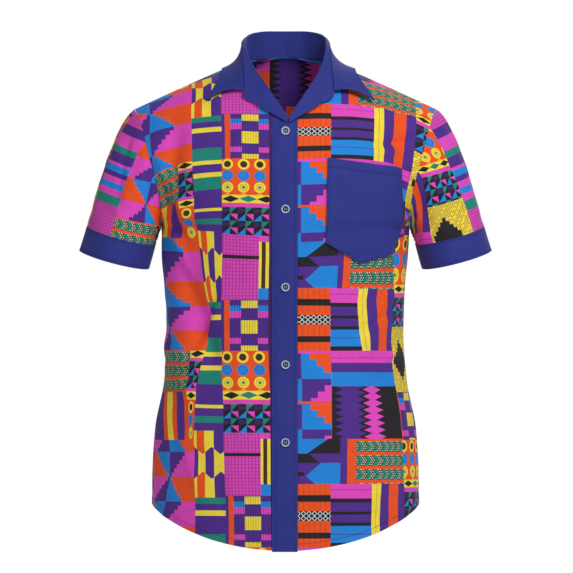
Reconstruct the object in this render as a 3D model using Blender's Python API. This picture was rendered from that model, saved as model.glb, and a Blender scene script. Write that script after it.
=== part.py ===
"""A short-sleeved button-down shirt, filled out as when it is worn, with no wearer.

+Z is up, the front faces -Y, and the wearer's right side is at -X. The origin lies on the shoulder
line, midway between the two points where the collar meets the shoulder seams. Sizes in the tables
and constants are millimetres, and MM turns them to Blender's metres.
"""

import bpy
import numpy as np

MM = 0.001

# Cloth: the walls, how far seams and layers lie apart, how far edges stay off a shared seam in turn,
# and how wide the shoulder crest is rounded
WALL = 1.2
POCKET_LIFT = 2.1
SIDE_TRIM = 0.0012
BAND_WALL = 1.6
SEAM_GAP = 0.3
LAYER_GAP = 0.6
RIDGE = 14.0
CREST_ROUND = 0.2

# Fronts, placket and hem
NECK_HALF_WIDTH = 62.0
BACK_NECK_GIRTH = 78.0
PLACKET_LEFT_EDGE = -20.0
PLACKET_RIGHT_EDGE = 18.0
STRIP_TOP_CURVE = 55.0
# Top lines (x, z), from the right side's edge to the left side's
PLACKET_TOP = ((3.0, -84.5), (7.0, -80.0), (11.0, -74.0), (14.5, -68.0), (18.0, -62.0))
BAND_TOP = ((-20.0, -53.0), (-12.0, -64.0), (-4.0, -76.0), (7.0, -88.0), (18.0, -92.0))
HEM_SIDE_HEIGHT = -655.0
HEM_DROP = 70.0
HEM_CURVE = 1.5

# Sleeves
CUFF_DEPTH = 38.0
CUFF_CENTRE = (257.0, 0.0, -289.0)
CUFF_HALF_WIDTH = 54.0
CUFF_HALF_DEPTH = 70.0
CUFF_TILT = 14.6
CUFF_FRONT_DROOP = 7.0
SLEEVE_TAKE_OFF = 0.55
SLEEVE_TOP_WAY = (0.93, 0.0, -0.37)
BAND_STAND_OUT = 0.3

# Buttons
BUTTON_RADIUS = 6.3
BUTTON_THICK = 2.4
BUTTON_DISH = 0.8
BUTTON_RIM = 1.5
BUTTON_FIRST_HEIGHT = -98.0
BUTTON_SPACING = 116.3
BUTTON_COUNT = 5

# Each row is one level of the front or the back, from the shoulder crest to below the hem: centre y
# and z, side edge x, y and z, and the angle that the level turns through from centre to side
LEVEL_COLUMNS = ("centre_y", "centre_z", "edge_x", "edge_y", "edge_z", "turn")
FRONT = (
    (0, 26, 226, 0, -64, 48),
    (-42, 13, 221, -24, -76, 50),
    (-76, -20, 213, -46, -100, 54),
    (-100, -68, 204, -58, -136, 60),
    (-117, -126, 196, -62, -166, 66),
    (-127, -182, 189, -53, -200, 74),
    (-129, -226, 186.5, -29, -229, 84),
    (-128, -252, 186, 4, -243, 90),
    (-123, -332, 179, 6, -334, 90),
    (-117, -400, 177, 8, -400, 90),
    (-119, -470, 182, 8, -470, 90),
    (-127, -545, 196, 8, -545, 90),
    (-132, -620, 200, 8, -620, 90),
    (-134, -690, 200, 8, -690, 90),
    (-135, -760, 200, 8, -760, 90),
)

BACK = (
    (0, 26, 226, 0, -64, 48),
    (40, 24, 222, 24, -75, 50),
    (74, 16.5, 214, 46, -98, 54),
    (98, -30, 205, 58, -134, 60),
    (112, -94, 197, 62, -166, 66),
    (118, -164, 190, 55, -200, 74),
    (117, -224, 187, 32, -229, 84),
    (114, -252, 186, 4, -243, 90),
    (104, -332, 179, 6, -334, 90),
    (94, -400, 177, 8, -400, 90),
    (102, -470, 182, 8, -470, 90),
    (117, -545, 196, 8, -545, 90),
    (125, -620, 200, 8, -620, 90),
    (129, -690, 200, 8, -690, 90),
    (130, -760, 200, 8, -760, 90),
)

# Each row is one large fold of a front or the back: where it starts and ends (x, z), its half width,
# and how far it stands out, or in where the depth is negative
FOLD_COLUMNS = ("x0", "z0", "x1", "z1", "half_width", "depth")
FRONT_FOLDS = (
    (-176, -262, -128, -560, 20, 9),
    (-150, -300, -106, -450, 13, -9),
    (-164, -90, -178, -215, 14, -7),
    (-186, -150, -150, -230, 12, 5),
    (168, -80, 186, -205, 16, -8),
    (150, -120, 172, -250, 14, 5),
    (172, -330, 118, -420, 16, 6),
    (176, -390, 130, -520, 16, -5),
    (-186, -400, -150, -480, 16, 5),
)
BACK_FOLDS = (
    (-160, -120, -120, -420, 22, 7),
    (-120, -200, -84, -470, 18, -6),
    (158, -130, 126, -400, 22, 7),
    (118, -210, 90, -480, 18, -6),
    (-150, -380, -60, -470, 18, 5),
    (150, -390, 70, -460, 18, 5),
    (0, -330, 0, -500, 26, -5),
)

# Each row is one station round half of the collar, from the centre back to the front end. roll is the
# top or fold of the stand, seam where the leaf starts, edge the leaf's free edge, hollow how far the
# leaf's middle sinks, and skew and edge_skew how far to the wearer's left the closing and the leaf's
# edge lie at that station.
COLLAR_COLUMNS = ("roll", "seam", "edge", "hollow", "skew", "edge_skew")
COLLAR = (
    ((0, 80, 52), (0, 84.5, 50), (0, 102, 4), 0, 0, 0),
    ((25, 77, 52), (25, 81.5, 50), (31, 100, 3), 0, 0, 0),
    ((44, 62, 50), (47, 65.5, 48), (60, 87, 0.5), 1, 0, 0.5),
    ((57, 38, 45), (61, 39.5, 43), (83, 55, -3), 4, 0, 1.5),
    ((61, 12, 38), (65, 12.5, 36), (95, 22, -2.6), 7, 0, 3.0),
    ((61, -12, 29), (65.5, -12, 27), (99.5, -8, -3.2), 6.5, 0.5, 4.0),
    ((57.5, -36, 14.5), (65.5, -34, 14), (101, -31, -10.5), 5, 1.5, 5.5),
    ((50, -60, -4), (65.5, -57, -4), (109, -47, -24), 3, 3.0, 6.2),
    ((40, -78, -20), (66, -72, -20), (117.5, -58, -37.5), 1, 4.5, 6.8),
    ((31, -88, -33), (67, -80, -36), (126.5, -67, -51), 0, 4.5, 7.1),
)
# Where the stand is sewn to the neckline (x, z) at the last five stations; the others are on the back
FRONT_NECK = ((62.5, 4), (58, -3), (51, -16), (43, -27), (34, -34))
# The stand's rounded end past its last station (x, y, z)
STAND_END = ((68.5, -84, -43), (62, -88.5, -50), (49.5, -93.5, -56))
LEAF_FRONT_EDGE_SAG = 7.0
COLLAR_SKEW = 4.5
ROLL_RADIUS = 2.6

# The turned-out facing below the stand's end: its fold and its free edge (x, z), for a mirrored half
FACING_ROLL = ((30.0, -33.0), (15.0, -55.0), (0.8, -76.0))
FACING_EDGE = ((48.5, -57.0), (26.0, -70.5), (0.8, -85.0))
# How far the facing starts below its fold's first point
FACING_START = -0.9
# How far the facing lies in front of the cloth, at its fold and at its free edge, from the stand to
# the foot of the neck opening
FACING_LIFT = ((9.5, 5.5), (4.5, 3.5))

# Pocket corners (x, z) on the left front
POCKET_TOP = ((63.0, -138.0), (175.5, -153.5))
POCKET_BOTTOM = ((60.0, -264.5), (111.0, -296.0), (165.5, -279.0))

# The side seams (x, y, z), which front and back share
SIDE_SEAM = (
    (186, 4, -243),
    (184, 5, -280),
    (179, 6, -334),
    (177, 8, -400),
    (182, 8, -470),
    (196, 8, -545),
    (200, 8, -620),
    (200, 8, -760),
)

# Grid steps of the solids
ARMHOLE_STEPS = 15
SIDE_STEPS = 14
FRONT_STEPS = 15
BACK_STEPS = 24
SLEEVE_LEVELS = 9
STRIP_STEPS = 30
COLLAR_STEPS = 14
BACK_NECK_STEPS = 5


def linear(hex_colour):
    """An sRGB hex colour as linear red, green, blue and alpha."""
    parts = [int(hex_colour[i : i + 2], 16) / 255 for i in (0, 2, 4)]
    return [c / 12.92 if c <= 0.04045 else ((c + 0.055) / 1.055) ** 2.4 for c in parts] + [1.0]


def material(name, hex_colour, roughness, metallic=0.0):
    made = bpy.data.materials.new(name)
    made.use_nodes = True
    shader = made.node_tree.nodes["Principled BSDF"]
    shader.inputs["Base Color"].default_value = linear(hex_colour)
    shader.inputs["Roughness"].default_value = roughness
    shader.inputs["Metallic"].default_value = metallic
    return made


def smooth(at, known, values):
    """A cubic through the known values, with no overshoot between them."""
    known = np.asarray(known, float)
    values = np.asarray(values, float)
    steps = np.diff(known)
    slopes = np.diff(values) / steps
    tangents = np.zeros(len(known))
    rising = slopes[:-1] * slopes[1:] > 0
    harmonic = 2 * slopes[:-1] * slopes[1:] / np.where(rising, slopes[:-1] + slopes[1:], 1.0)
    tangents[1:-1] = np.where(rising, harmonic, 0.0)
    tangents[0] = slopes[0]
    tangents[-1] = slopes[-1]
    i = np.clip(np.searchsorted(known, at) - 1, 0, len(steps) - 1)
    t = (at - known[i]) / steps[i]
    return (
        values[i] * (1 + 2 * t) * (1 - t) ** 2
        + tangents[i] * steps[i] * t * (1 - t) ** 2
        + values[i + 1] * t**2 * (3 - 2 * t)
        - tangents[i + 1] * steps[i] * t**2 * (1 - t)
    )


def unit(vectors):
    return vectors / np.maximum(np.linalg.norm(vectors, axis=-1, keepdims=True), 1e-9)


def ease(value):
    value = np.clip(value, 0, 1)
    return value * value * (3 - 2 * value)


class Body:
    """The cloth round the front or the back, as a smooth surface under its large folds.

    girth runs down the centre line from the shoulder crest, and turn across, from 0 at the centre
    to 1 or -1 at a side seam or an armhole.
    """

    def __init__(self, levels, folds):
        self.columns = dict(zip(LEVEL_COLUMNS, np.array(levels, float).T))
        runs = np.hypot(np.diff(self.columns["centre_y"]), np.diff(self.columns["centre_z"]))
        self.girths = np.concatenate([[0], np.cumsum(runs)])
        self.folds = folds
        self.side = -1.0 if levels[-1][0] < 0 else 1.0

    def level(self, name, girth):
        return smooth(girth, self.girths, self.columns[name])

    def edge(self, girth):
        """x, y and z of the armhole and, below it, of the side seam."""
        edge_z = self.level("edge_z", girth)
        seam_x, seam_y, seam_z = np.array(SIDE_SEAM, float).T
        below = edge_z < seam_z[0]
        edge_x = np.where(below, smooth(-edge_z, -seam_z, seam_x), self.level("edge_x", girth))
        edge_y = np.where(below, smooth(-edge_z, -seam_z, seam_y), self.level("edge_y", girth))
        return edge_x, edge_y, edge_z

    def armpit(self):
        """Girth of the level that meets the armpit."""
        return self.girths[list(self.columns["turn"]).index(90)]

    def plain(self, turn, girth):
        """Points before the folds."""
        turn, girth = np.broadcast_arrays(np.asarray(turn, float), np.asarray(girth, float))
        span = np.radians(self.level("turn", girth))
        centre_y = self.level("centre_y", girth)
        centre_z = self.level("centre_z", girth)
        edge_x, edge_y, edge_z = self.edge(girth)
        x = edge_x * np.sin(turn * span) / np.sin(span)
        bow = (1 - np.cos(turn * span)) / (1 - np.cos(span))
        y = centre_y + (edge_y - centre_y) * bow
        reach = np.abs(x / edge_x)
        across = reach**2 * (1 + CREST_ROUND) / (reach + CREST_ROUND)
        z = centre_z + (edge_z - centre_z) * across
        return np.stack([x, y, z], -1)

    def normal(self, turn, girth, surface=None):
        surface = surface or self.plain
        turn, girth = np.broadcast_arrays(np.asarray(turn, float), np.asarray(girth, float))
        across = surface(turn + 0.004, girth) - surface(turn - 0.004, girth)
        low = np.maximum(girth - 1.0, 0.0)
        down = surface(turn, girth + 1.0) - surface(turn, low)
        out = unit(np.cross(across, down)) * self.side
        out[..., 1] *= ease(girth / RIDGE)
        return unit(out)

    def relief(self, points, turn, girth):
        """How far the large folds move each point along its normal."""
        height = np.zeros(points.shape[:-1])
        for row in self.folds:
            fold = dict(zip(FOLD_COLUMNS, row))
            start = np.array([fold["x0"], fold["z0"]], float)
            along = np.array([fold["x1"], fold["z1"]], float) - start
            offset = points[..., [0, 2]] - start
            share = np.clip(offset @ along / (along @ along), 0, 1)
            away = np.linalg.norm(offset - share[..., None] * along, axis=-1)
            fade = np.sin(np.pi * np.clip(0.08 + 0.84 * share, 0, 1)) ** 0.7
            height += fold["depth"] * fade * np.exp(-((away / fold["half_width"]) ** 2))
        calm = ease((1 - np.abs(turn)) / 0.12) * ease(girth / 40.0)
        return height * calm

    def points(self, turn, girth, lift=0.0):
        turn, girth = np.broadcast_arrays(np.asarray(turn, float), np.asarray(girth, float))
        base = self.plain(turn, girth)
        out = self.normal(turn, girth)
        folded = base + out * self.relief(base, turn, girth)[..., None]
        return folded + self.facing(turn, girth) * np.asarray(lift, float)[..., None]

    def facing(self, turn, girth):
        """Outward normals of the folded cloth."""

        def folded(a, b):
            base = self.plain(a, b)
            return base + self.normal(a, b) * self.relief(base, a, b)[..., None]

        return self.normal(turn, girth, folded)

    def find(self, x, z):
        """turn and girth of the points that show at x and z."""
        x, z = np.broadcast_arrays(np.asarray(x, float), np.asarray(z, float))
        girth = np.full(x.shape, 150.0)
        turn = np.zeros(x.shape)
        for _ in range(60):
            span = np.radians(self.level("turn", girth))
            ratio = np.clip(x / self.edge(girth)[0] * np.sin(span), -1, 1)
            turn = np.clip(np.arcsin(ratio) / span, -1, 1)
            girth = np.clip(girth + 0.7 * (self.plain(turn, girth)[..., 2] - z), 4.0, self.girths[-1])
        return turn, girth

    def at(self, x, z, lift=0.0):
        turn, girth = self.find(x, z)
        return self.points(turn, girth, lift)


front = Body(FRONT, FRONT_FOLDS)
back = Body(BACK, BACK_FOLDS)


def shell(name, outer, inner, finish, around=False):
    """One closed solid between two grids of points, in millimetres; around joins first to last."""
    rows, columns = outer.shape[:2]
    count = rows * columns
    points = np.concatenate([outer.reshape(-1, 3), inner.reshape(-1, 3)]) * MM
    last = columns if around else columns - 1
    faces = []
    for r in range(rows - 1):
        for c in range(last):
            d = (c + 1) % columns
            quad = (r * columns + c, r * columns + d, (r + 1) * columns + d, (r + 1) * columns + c)
            faces.append(quad)
            faces.append(tuple(count + k for k in reversed(quad)))
    rim = []
    for c in range(last):
        d = (c + 1) % columns
        rim.append((d, c))
        rim.append(((rows - 1) * columns + c, (rows - 1) * columns + d))
    if not around:
        for r in range(rows - 1):
            rim.append((r * columns, (r + 1) * columns))
            rim.append(((r + 2) * columns - 1, (r + 1) * columns - 1))
    for a, b in rim:
        faces.append((a, b, count + b, count + a))
    mesh = bpy.data.meshes.new(name)
    mesh.from_pydata(points.tolist(), [], faces)
    mesh.materials.append(finish)
    corners = points[np.array([f[:3] for f in faces])]
    ends = points[np.array([f[3] for f in faces])]
    volume = np.einsum("ij,ij->i", corners[:, 0], np.cross(corners[:, 1], corners[:, 2]))
    volume += np.einsum("ij,ij->i", corners[:, 0], np.cross(corners[:, 2], ends))
    if volume.sum() < 0:
        mesh.flip_normals()
    mesh.shade_smooth()
    mesh.set_sharp_from_angle(angle=np.radians(40))
    made = bpy.data.objects.new(name, mesh)
    bpy.context.scene.collection.objects.link(made)
    return made


def sheet(name, middle, wall, finish):
    """A wall laid half to each side of a grid of points."""
    across = np.gradient(middle, axis=1)
    along = np.gradient(middle, axis=0)
    out = unit(np.cross(across, along))
    return shell(name, middle + out * wall / 2, middle - out * wall / 2, finish)


def hem_girth(body, turn):
    """Girth at which each turn meets the curved hem."""
    height = HEM_SIDE_HEIGHT - HEM_DROP * np.cos(np.asarray(turn) * np.pi / 2) ** HEM_CURVE
    levels = np.linspace(0, body.girths[-1], 400)
    heights = body.level("centre_z", levels)
    return np.interp(-height, -heights, levels)


def level_shares(body, low_girth):
    """Shares of the way from shoulder to hem, with one level exactly at the armpit."""
    to_armpit = body.armpit() / low_girth
    above = np.linspace(0, to_armpit, ARMHOLE_STEPS + 1)
    below = np.linspace(to_armpit, 1, SIDE_STEPS + 1)
    return np.concatenate([above, below[1:]])[:, None]


def crest_turn(body, reach):
    """Turn on the crest at a distance from the centre."""
    turns = np.linspace(0, 1, 400)
    return np.interp(reach, body.plain(turns, 0.0)[:, 0], turns)


def roll_height(reach):
    """Height of the turned-out fold at a distance from the closing's middle."""
    roll = np.array(FACING_ROLL[::-1])
    return np.interp(reach, roll[:, 0], roll[:, 1])


def front_top(sign, inner_edge):
    """turn and girth along the top of a front: its fold, its neckline and its shoulder seam."""
    start = abs(inner_edge - COLLAR_SKEW)
    reach = [start] + [x for x, z in FACING_ROLL[::-1] if x > start + 3]
    line = [(sign * x + COLLAR_SKEW, roll_height(x)) for x in reach]
    skews = [row[4] for row in COLLAR[-len(FRONT_NECK) :]]
    line += [(sign * x + skew, z) for (x, z), skew in list(zip(FRONT_NECK, skews))[-2:0:-1]]
    x, z = np.array(line).T
    turn, girth = front.find(x, z)
    rest = FRONT_STEPS + 1 - len(turn)
    shoulder = np.linspace(crest_turn(front, NECK_HALF_WIDTH + 1), 1, rest)
    return np.append(turn, sign * shoulder), np.append(girth, np.zeros(rest))


def panel(name, body, turn_top, girth_top, turn_low, finish, inner_edge=None):
    """A front or the back, as a wall between its top line and its hem."""
    share = level_shares(body, hem_girth(body, 1.0))
    turn = turn_low + (turn_top - turn_low) * (1 - ease(share / 0.55))
    girth = girth_top + (hem_girth(body, turn_low) - girth_top) * share
    girth = np.maximum(girth, SEAM_GAP / 2)
    if inner_edge is not None:
        heights = body.plain(turn[:, 0], girth[:, 0])[:, 2]
        turn[:, 0], girth[:, 0] = body.find(inner_edge, heights)
    turn = np.clip(turn, -1 + SIDE_TRIM, 1 - SIDE_TRIM)
    outer = body.points(turn, girth)
    inner = body.points(turn, girth, np.full(turn.shape, -WALL))
    return shell(name, outer, inner, finish)


def front_panel(name, sign, inner_edge, finish):
    turn_top, girth_top = front_top(sign, inner_edge)
    turn_low = np.linspace(front.find(inner_edge, -640.0)[0], sign, FRONT_STEPS + 1)
    return panel(name, front, turn_top, girth_top, turn_low, finish, inner_edge)


def back_neck(share):
    """turn and girth on the back neckline, from 0 at the centre back to 1 at the shoulder."""
    turn = crest_turn(back, NECK_HALF_WIDTH + 1) * share
    return turn, BACK_NECK_GIRTH * np.maximum(1 - share**2, 0) ** 0.55


def back_panel(name, finish):
    neck_turn, neck_girth = back_neck(np.sin(np.radians(np.linspace(0, 90, BACK_NECK_STEPS + 1))))
    shoulder = np.linspace(neck_turn[-1], 1, BACK_STEPS // 2 - BACK_NECK_STEPS + 1)[1:]
    turn_half = np.concatenate([neck_turn, shoulder])
    girth_half = np.concatenate([neck_girth, np.zeros(len(shoulder))])
    turn_top = np.concatenate([-turn_half[:0:-1], turn_half])
    girth_top = np.concatenate([girth_half[:0:-1], girth_half])
    turn_low = np.linspace(-1, 1, BACK_STEPS + 1)
    return panel(name, back, turn_top, girth_top, turn_low, finish)


def strip(name, top_line, lift, wall, finish):
    """A strip down the front between the placket's edges, lifted off the front, under a top line (x, z)."""
    top = np.array(top_line, float)
    across = np.linspace(0, 1, len(top))
    low_x = PLACKET_LEFT_EDGE + (PLACKET_RIGHT_EDGE - PLACKET_LEFT_EDGE) * across
    low = front.plain(crest_turn(front, 0.0), hem_girth(front, 0.0) + 1.5)[..., 2]
    share = np.linspace(0, 1, STRIP_STEPS + 1)[:, None]
    z = top[:, 1] + (low - top[:, 1]) * share
    bend = 1 - ease((top[:, 1].max() - z) / STRIP_TOP_CURVE)
    x = low_x + (top[:, 0] - low_x) * bend
    turn, girth = front.find(x, z)
    outer = front.points(turn, girth, np.full(x.shape, lift + wall))
    inner = front.points(turn, girth, np.full(x.shape, float(lift)))
    return shell(name, outer, inner, finish)


def facing(name, sign, lift, finish):
    """The turned-out top of a front, between its roll and its free edge."""
    share = np.linspace(0, 1, 8)
    known = np.linspace(0, 1, len(FACING_ROLL))
    roll, edge = (
        np.stack([smooth(share, known, np.array(line)[:, k]) for k in (0, 1)], -1)
        for line in (FACING_ROLL, FACING_EDGE)
    )
    start = unit(roll[1] - roll[0]) * FACING_START * (1 - share[:, None, None])
    columns = np.linspace(0, 1, 5)[None, :, None]
    flat = roll[:, None] + (edge - roll)[:, None] * columns + start
    above, below = np.array(FACING_LIFT)
    fall = above + (below - above) * share[:, None]
    fall = fall[:, :1] + (fall[:, 1:] - fall[:, :1]) * columns[..., 0]
    belly = np.sin(np.pi * columns[..., 0]) * fall * 0.12
    middle = front.at(flat[..., 0] * sign + COLLAR_SKEW, flat[..., 1])
    middle[..., 1] -= lift + fall + belly
    return sheet(name, middle, WALL, finish)


def stand_foot(k):
    """Where the stand is sewn on at one station, standing just clear of the neckline."""
    first_front = len(COLLAR) - len(FRONT_NECK)
    if k < first_front:
        share = min(COLLAR[k][0][0] / NECK_HALF_WIDTH, 1.0)
        return back.points(*back_neck(np.array(share))) + (0, 0, 0.5 + 1.9 * share**2)
    x, z = FRONT_NECK[k - first_front]
    return front.at(float(x), float(z), 2.2)


def collar_side(sign):
    """foot, roll, seam and edge points and the hollow of each station, from the centre back."""
    stations = []
    for k, row in enumerate(COLLAR):
        station = dict(zip(COLLAR_COLUMNS, row))
        points = np.array([stand_foot(k), station["roll"], station["seam"], station["edge"]], float)
        middle = (points[2] + points[3]) / 2 - np.array((0.8, 0.0, 0.6)) * station["hollow"]
        points = np.concatenate([points, middle[None]])
        skew = station["skew"]
        edge_skew = station["edge_skew"]
        points[:, 0] = points[:, 0] * sign + (skew, skew, skew, edge_skew, (skew + edge_skew) / 2)
        stations.append(points)
    return np.array(stations)


def finer(points, count):
    """The same stations with smooth in-between ones, along the first axis."""
    known = np.arange(len(points), dtype=float)
    at = np.linspace(0, len(points) - 1, count)
    flat = points.reshape(len(points), -1)
    return np.stack([smooth(at, known, column) for column in flat.T], -1).reshape((count,) + points.shape[1:])


def both_sides(halves):
    return np.concatenate([halves[0][::-1], halves[1][1:]])


def stand_half(sign):
    stations = finer(collar_side(sign), COLLAR_STEPS + 1)[:, :3]
    end = stations[-1]
    for k, (x, y, z) in enumerate(STAND_END):
        step = end.copy()
        shift = np.array((-0.25 * sign, -0.15, -0.3)) * (k + 1)
        step[:2] += shift
        step[2] = (x * sign + COLLAR_SKEW, y, z)
        stations = np.concatenate([stations, step[None]])
    return stations


def collar_stand(finish):
    stations = both_sides([stand_half(sign) for sign in (-1, 1)])
    foot, roll, seam = stations[:, 0], stations[:, 1], stations[:, 2]
    up = unit(roll - foot)
    out = unit(seam - roll)
    top = roll + unit(up - out) * ROLL_RADIUS * 0.3
    columns = [foot, foot + (roll - foot) * 0.5, roll - up * ROLL_RADIUS, top, roll + out * ROLL_RADIUS]
    columns += [roll + (seam - roll) * 0.6 + out, seam]
    return sheet("collar_stand", np.stack(columns, 1), BAND_WALL, finish)


def collar_leaf(finish):
    stations = both_sides([finer(collar_side(sign), COLLAR_STEPS + 1) for sign in (-1, 1)])
    seam, edge, middle = stations[:, 2], stations[:, 3], stations[:, 4]
    start = seam + unit(edge - seam) * (SEAM_GAP + BAND_WALL / 2)
    share = np.linspace(0, 1, 7)[None, :, None]
    handle = 2 * middle - (start + edge) / 2
    points = start[:, None] * (1 - share) ** 2 + handle[:, None] * 2 * share * (1 - share)
    points += edge[:, None] * share**2
    bulge = np.sin(np.pi * share[0, :, 0])
    for end in (0, -1):
        points[end, :, 2] += bulge * LEAF_FRONT_EDGE_SAG
    return sheet("collar_leaf", points, BAND_WALL, finish)


def pocket(finish):
    columns, rows = 10, 10
    across = np.linspace(0, 1, columns + 1)
    top = np.array(POCKET_TOP[0]) + (np.array(POCKET_TOP[1]) - POCKET_TOP[0]) * across[:, None]
    low = np.array(POCKET_BOTTOM)
    mid = (low[1, 0] - low[0, 0]) / (low[2, 0] - low[0, 0])
    bottom = np.stack([np.interp(across, (0, mid, 1), low[:, k]) for k in (0, 1)], -1)
    share = np.linspace(0, 1, rows + 1)[:, None, None]
    flat = top + (bottom - top) * share
    turn, girth = front.find(flat[..., 0], flat[..., 1])
    inner = front.points(turn, girth, np.full(turn.shape, POCKET_LIFT))
    outer = front.points(turn, girth, np.full(turn.shape, POCKET_LIFT + WALL))
    return shell("pocket", outer, inner, finish)


def armhole(sign):
    """Points and outward normals round an armhole, from the shoulder tip down the front and back up."""
    share = np.linspace(0, 1, ARMHOLE_STEPS + 1)
    front_girth = np.maximum(share * front.armpit(), SEAM_GAP / 2)
    back_girth = np.maximum(share[-2:0:-1] * back.armpit(), SEAM_GAP / 2)
    turns = (np.full(len(front_girth), float(sign)), np.full(len(back_girth), float(sign)))
    points = [front.points(turns[0], front_girth), back.points(turns[1], back_girth)]
    normals = [front.facing(turns[0], front_girth), back.facing(turns[1], back_girth)]
    return np.concatenate(points), np.concatenate(normals)


def sleeve_paths(sign):
    """Lines from the armhole to the sleeve's end, one for each point round it, and the end's axis."""
    start, start_out = armhole(sign)
    angle = np.linspace(0, 2 * np.pi, len(start) + 1)[:-1]
    tilt = np.radians(CUFF_TILT)
    wide = np.array([sign * np.cos(tilt), 0.0, np.sin(tilt)]) * CUFF_HALF_WIDTH
    deep = np.array([0.0, -1.0, 0.0]) * CUFF_HALF_DEPTH
    centre = np.array(CUFF_CENTRE) * (sign, 1, 1)
    end = centre + wide * np.cos(angle)[:, None] + deep * np.sin(angle)[:, None]
    end[:, 2] -= CUFF_FRONT_DROOP * np.maximum(np.sin(angle), 0)
    axis = unit(centre - start.mean(axis=0))
    reach = np.linalg.norm(end - start, axis=-1, keepdims=True) * SLEEVE_TAKE_OFF
    top = (0.5 + 0.5 * np.cos(angle))[:, None]
    leave = unit(axis * (1 - 0.75 * top) + np.array(SLEEVE_TOP_WAY) * (sign, 1, 1) * (0.35 + 0.75 * top))
    t = np.linspace(0, 1, 61)[:, None, None]
    paths = (
        start * (1 + 2 * t) * (1 - t) ** 2
        + leave * reach * t * (1 - t) ** 2
        + end * t**2 * (3 - 2 * t)
        - axis * reach * t**2 * (1 - t)
    )
    return paths, start_out


def path_normals(paths, first):
    across = np.roll(paths, -1, axis=1) - np.roll(paths, 1, axis=1)
    along = np.gradient(paths, axis=0)
    out = unit(np.cross(across, along))
    middle = paths.mean(axis=1, keepdims=True)
    out *= np.sign(np.einsum("rci,rci->rc", out, paths - middle).mean())
    agree = np.einsum("ci,ci->c", first, out[1])
    kept = (1 - ease((0.9 - agree) / 0.9))[None, :, None]
    kept = kept * (1 - ease(np.linspace(0, 1, len(paths)) / 0.2)[:, None, None])
    return unit(first * kept + out * (1 - kept))


def at_lengths(paths, values, first, last, count):
    """Rings of values at equal steps along every path, between first and last lengths in millimetres."""
    runs = np.linalg.norm(np.diff(paths, axis=0), axis=-1)
    lengths = np.concatenate([np.zeros((1, runs.shape[1])), np.cumsum(runs, axis=0)])
    rings = np.empty((count, paths.shape[1], 3))
    for c in range(paths.shape[1]):
        total = lengths[-1, c]
        wanted = np.linspace(first(total), last(total), count)
        for axis in range(3):
            rings[:, c, axis] = np.interp(wanted, lengths[:, c], values[:, c, axis])
    return rings


def sleeve(side, sign, print_finish, band_finish):
    paths, start_out = sleeve_paths(sign)
    out = path_normals(paths, start_out)

    def start(total):
        return SEAM_GAP

    def above_band(total):
        return total - CUFF_DEPTH - SEAM_GAP

    def band_top(total):
        return total - CUFF_DEPTH

    def end(total):
        return total

    spans = (
        ("sleeve_" + side, start, above_band, SLEEVE_LEVELS + 1, 0.0, WALL, print_finish),
        ("cuff_" + side, band_top, end, 3, BAND_STAND_OUT, BAND_WALL, band_finish),
    )
    for name, first, last, count, rise, wall, finish in spans:
        rings = at_lengths(paths, paths, first, last, count)
        ways = unit(at_lengths(paths, out, first, last, count))
        shell(name, rings + ways * rise, rings + ways * (rise - wall), finish, around=True)


def button(name, height, finish):
    """A dished button with a raised rim, lying on the placket."""
    lift = LAYER_GAP + WALL + SEAM_GAP
    turn, girth = front.find(np.array(0.0), np.array(height))
    centre = front.points(turn, girth, np.array(lift))
    out = front.facing(turn, girth)
    side = unit(np.cross((0.0, 0.0, 1.0), out))
    up = np.cross(out, side)
    rings = (
        (BUTTON_RADIUS - 0.8, 0.0),
        (BUTTON_RADIUS, 0.9),
        (BUTTON_RADIUS, BUTTON_THICK - 0.5),
        (BUTTON_RADIUS - 0.6, BUTTON_THICK),
        (BUTTON_RADIUS - BUTTON_RIM, BUTTON_THICK),
        (BUTTON_RADIUS - BUTTON_RIM - 0.5, BUTTON_THICK - BUTTON_DISH),
    )
    steps = 20
    angle = np.linspace(0, 2 * np.pi, steps + 1)[:-1]
    circle = np.cos(angle)[:, None] * side + np.sin(angle)[:, None] * up
    points = np.concatenate([centre + circle * radius + out * rise for radius, rise in rings]) * MM
    faces = []
    for ring in range(len(rings) - 1):
        for k in range(steps):
            n = (k + 1) % steps
            faces.append((ring * steps + k, ring * steps + n, (ring + 1) * steps + n, (ring + 1) * steps + k))
    faces.append(tuple(reversed(range(steps))))
    faces.append(tuple((len(rings) - 1) * steps + k for k in range(steps)))
    mesh = bpy.data.meshes.new(name)
    mesh.from_pydata(points.tolist(), [], faces)
    mesh.materials.append(finish)
    mesh.shade_smooth()
    mesh.set_sharp_from_angle(angle=np.radians(35))
    made = bpy.data.objects.new(name, mesh)
    bpy.context.scene.collection.objects.link(made)


def main():
    for old in list(bpy.data.objects):
        bpy.data.objects.remove(old)
    printed = material("printed_cotton", "C8457A", 0.8)
    blue = material("blue_cotton", "353C91", 0.75)
    plastic = material("button_plastic", "C9CBE6", 0.35)

    front_panel("front_right", -1, PLACKET_LEFT_EDGE - SEAM_GAP, printed)
    front_panel("front_left", 1, PLACKET_RIGHT_EDGE + SEAM_GAP, printed)
    back_panel("back", printed)
    strip("button_band", BAND_TOP, -WALL, WALL, blue)
    strip("placket", PLACKET_TOP, LAYER_GAP, WALL, blue)
    facing("facing_right", -1, 0.0, blue)
    facing("facing_left", 1, WALL + LAYER_GAP, blue)
    collar_stand(blue)
    collar_leaf(blue)
    pocket(blue)
    for side, sign in (("right", -1), ("left", 1)):
        sleeve(side, sign, printed, blue)
    for k in range(BUTTON_COUNT):
        button(f"button_{k + 1}", BUTTON_FIRST_HEIGHT - k * BUTTON_SPACING, plastic)


main()
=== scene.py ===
# %% [markdown]
# # A short-sleeved shirt in printed cotton
#
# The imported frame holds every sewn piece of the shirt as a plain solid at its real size. This script
# dresses it. Each piece of cloth is laid again as a finer shell on the same form, with its creases,
# hems and stitches, and the print is drawn on the cut of the cloth, as it was on the bolt.

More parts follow.
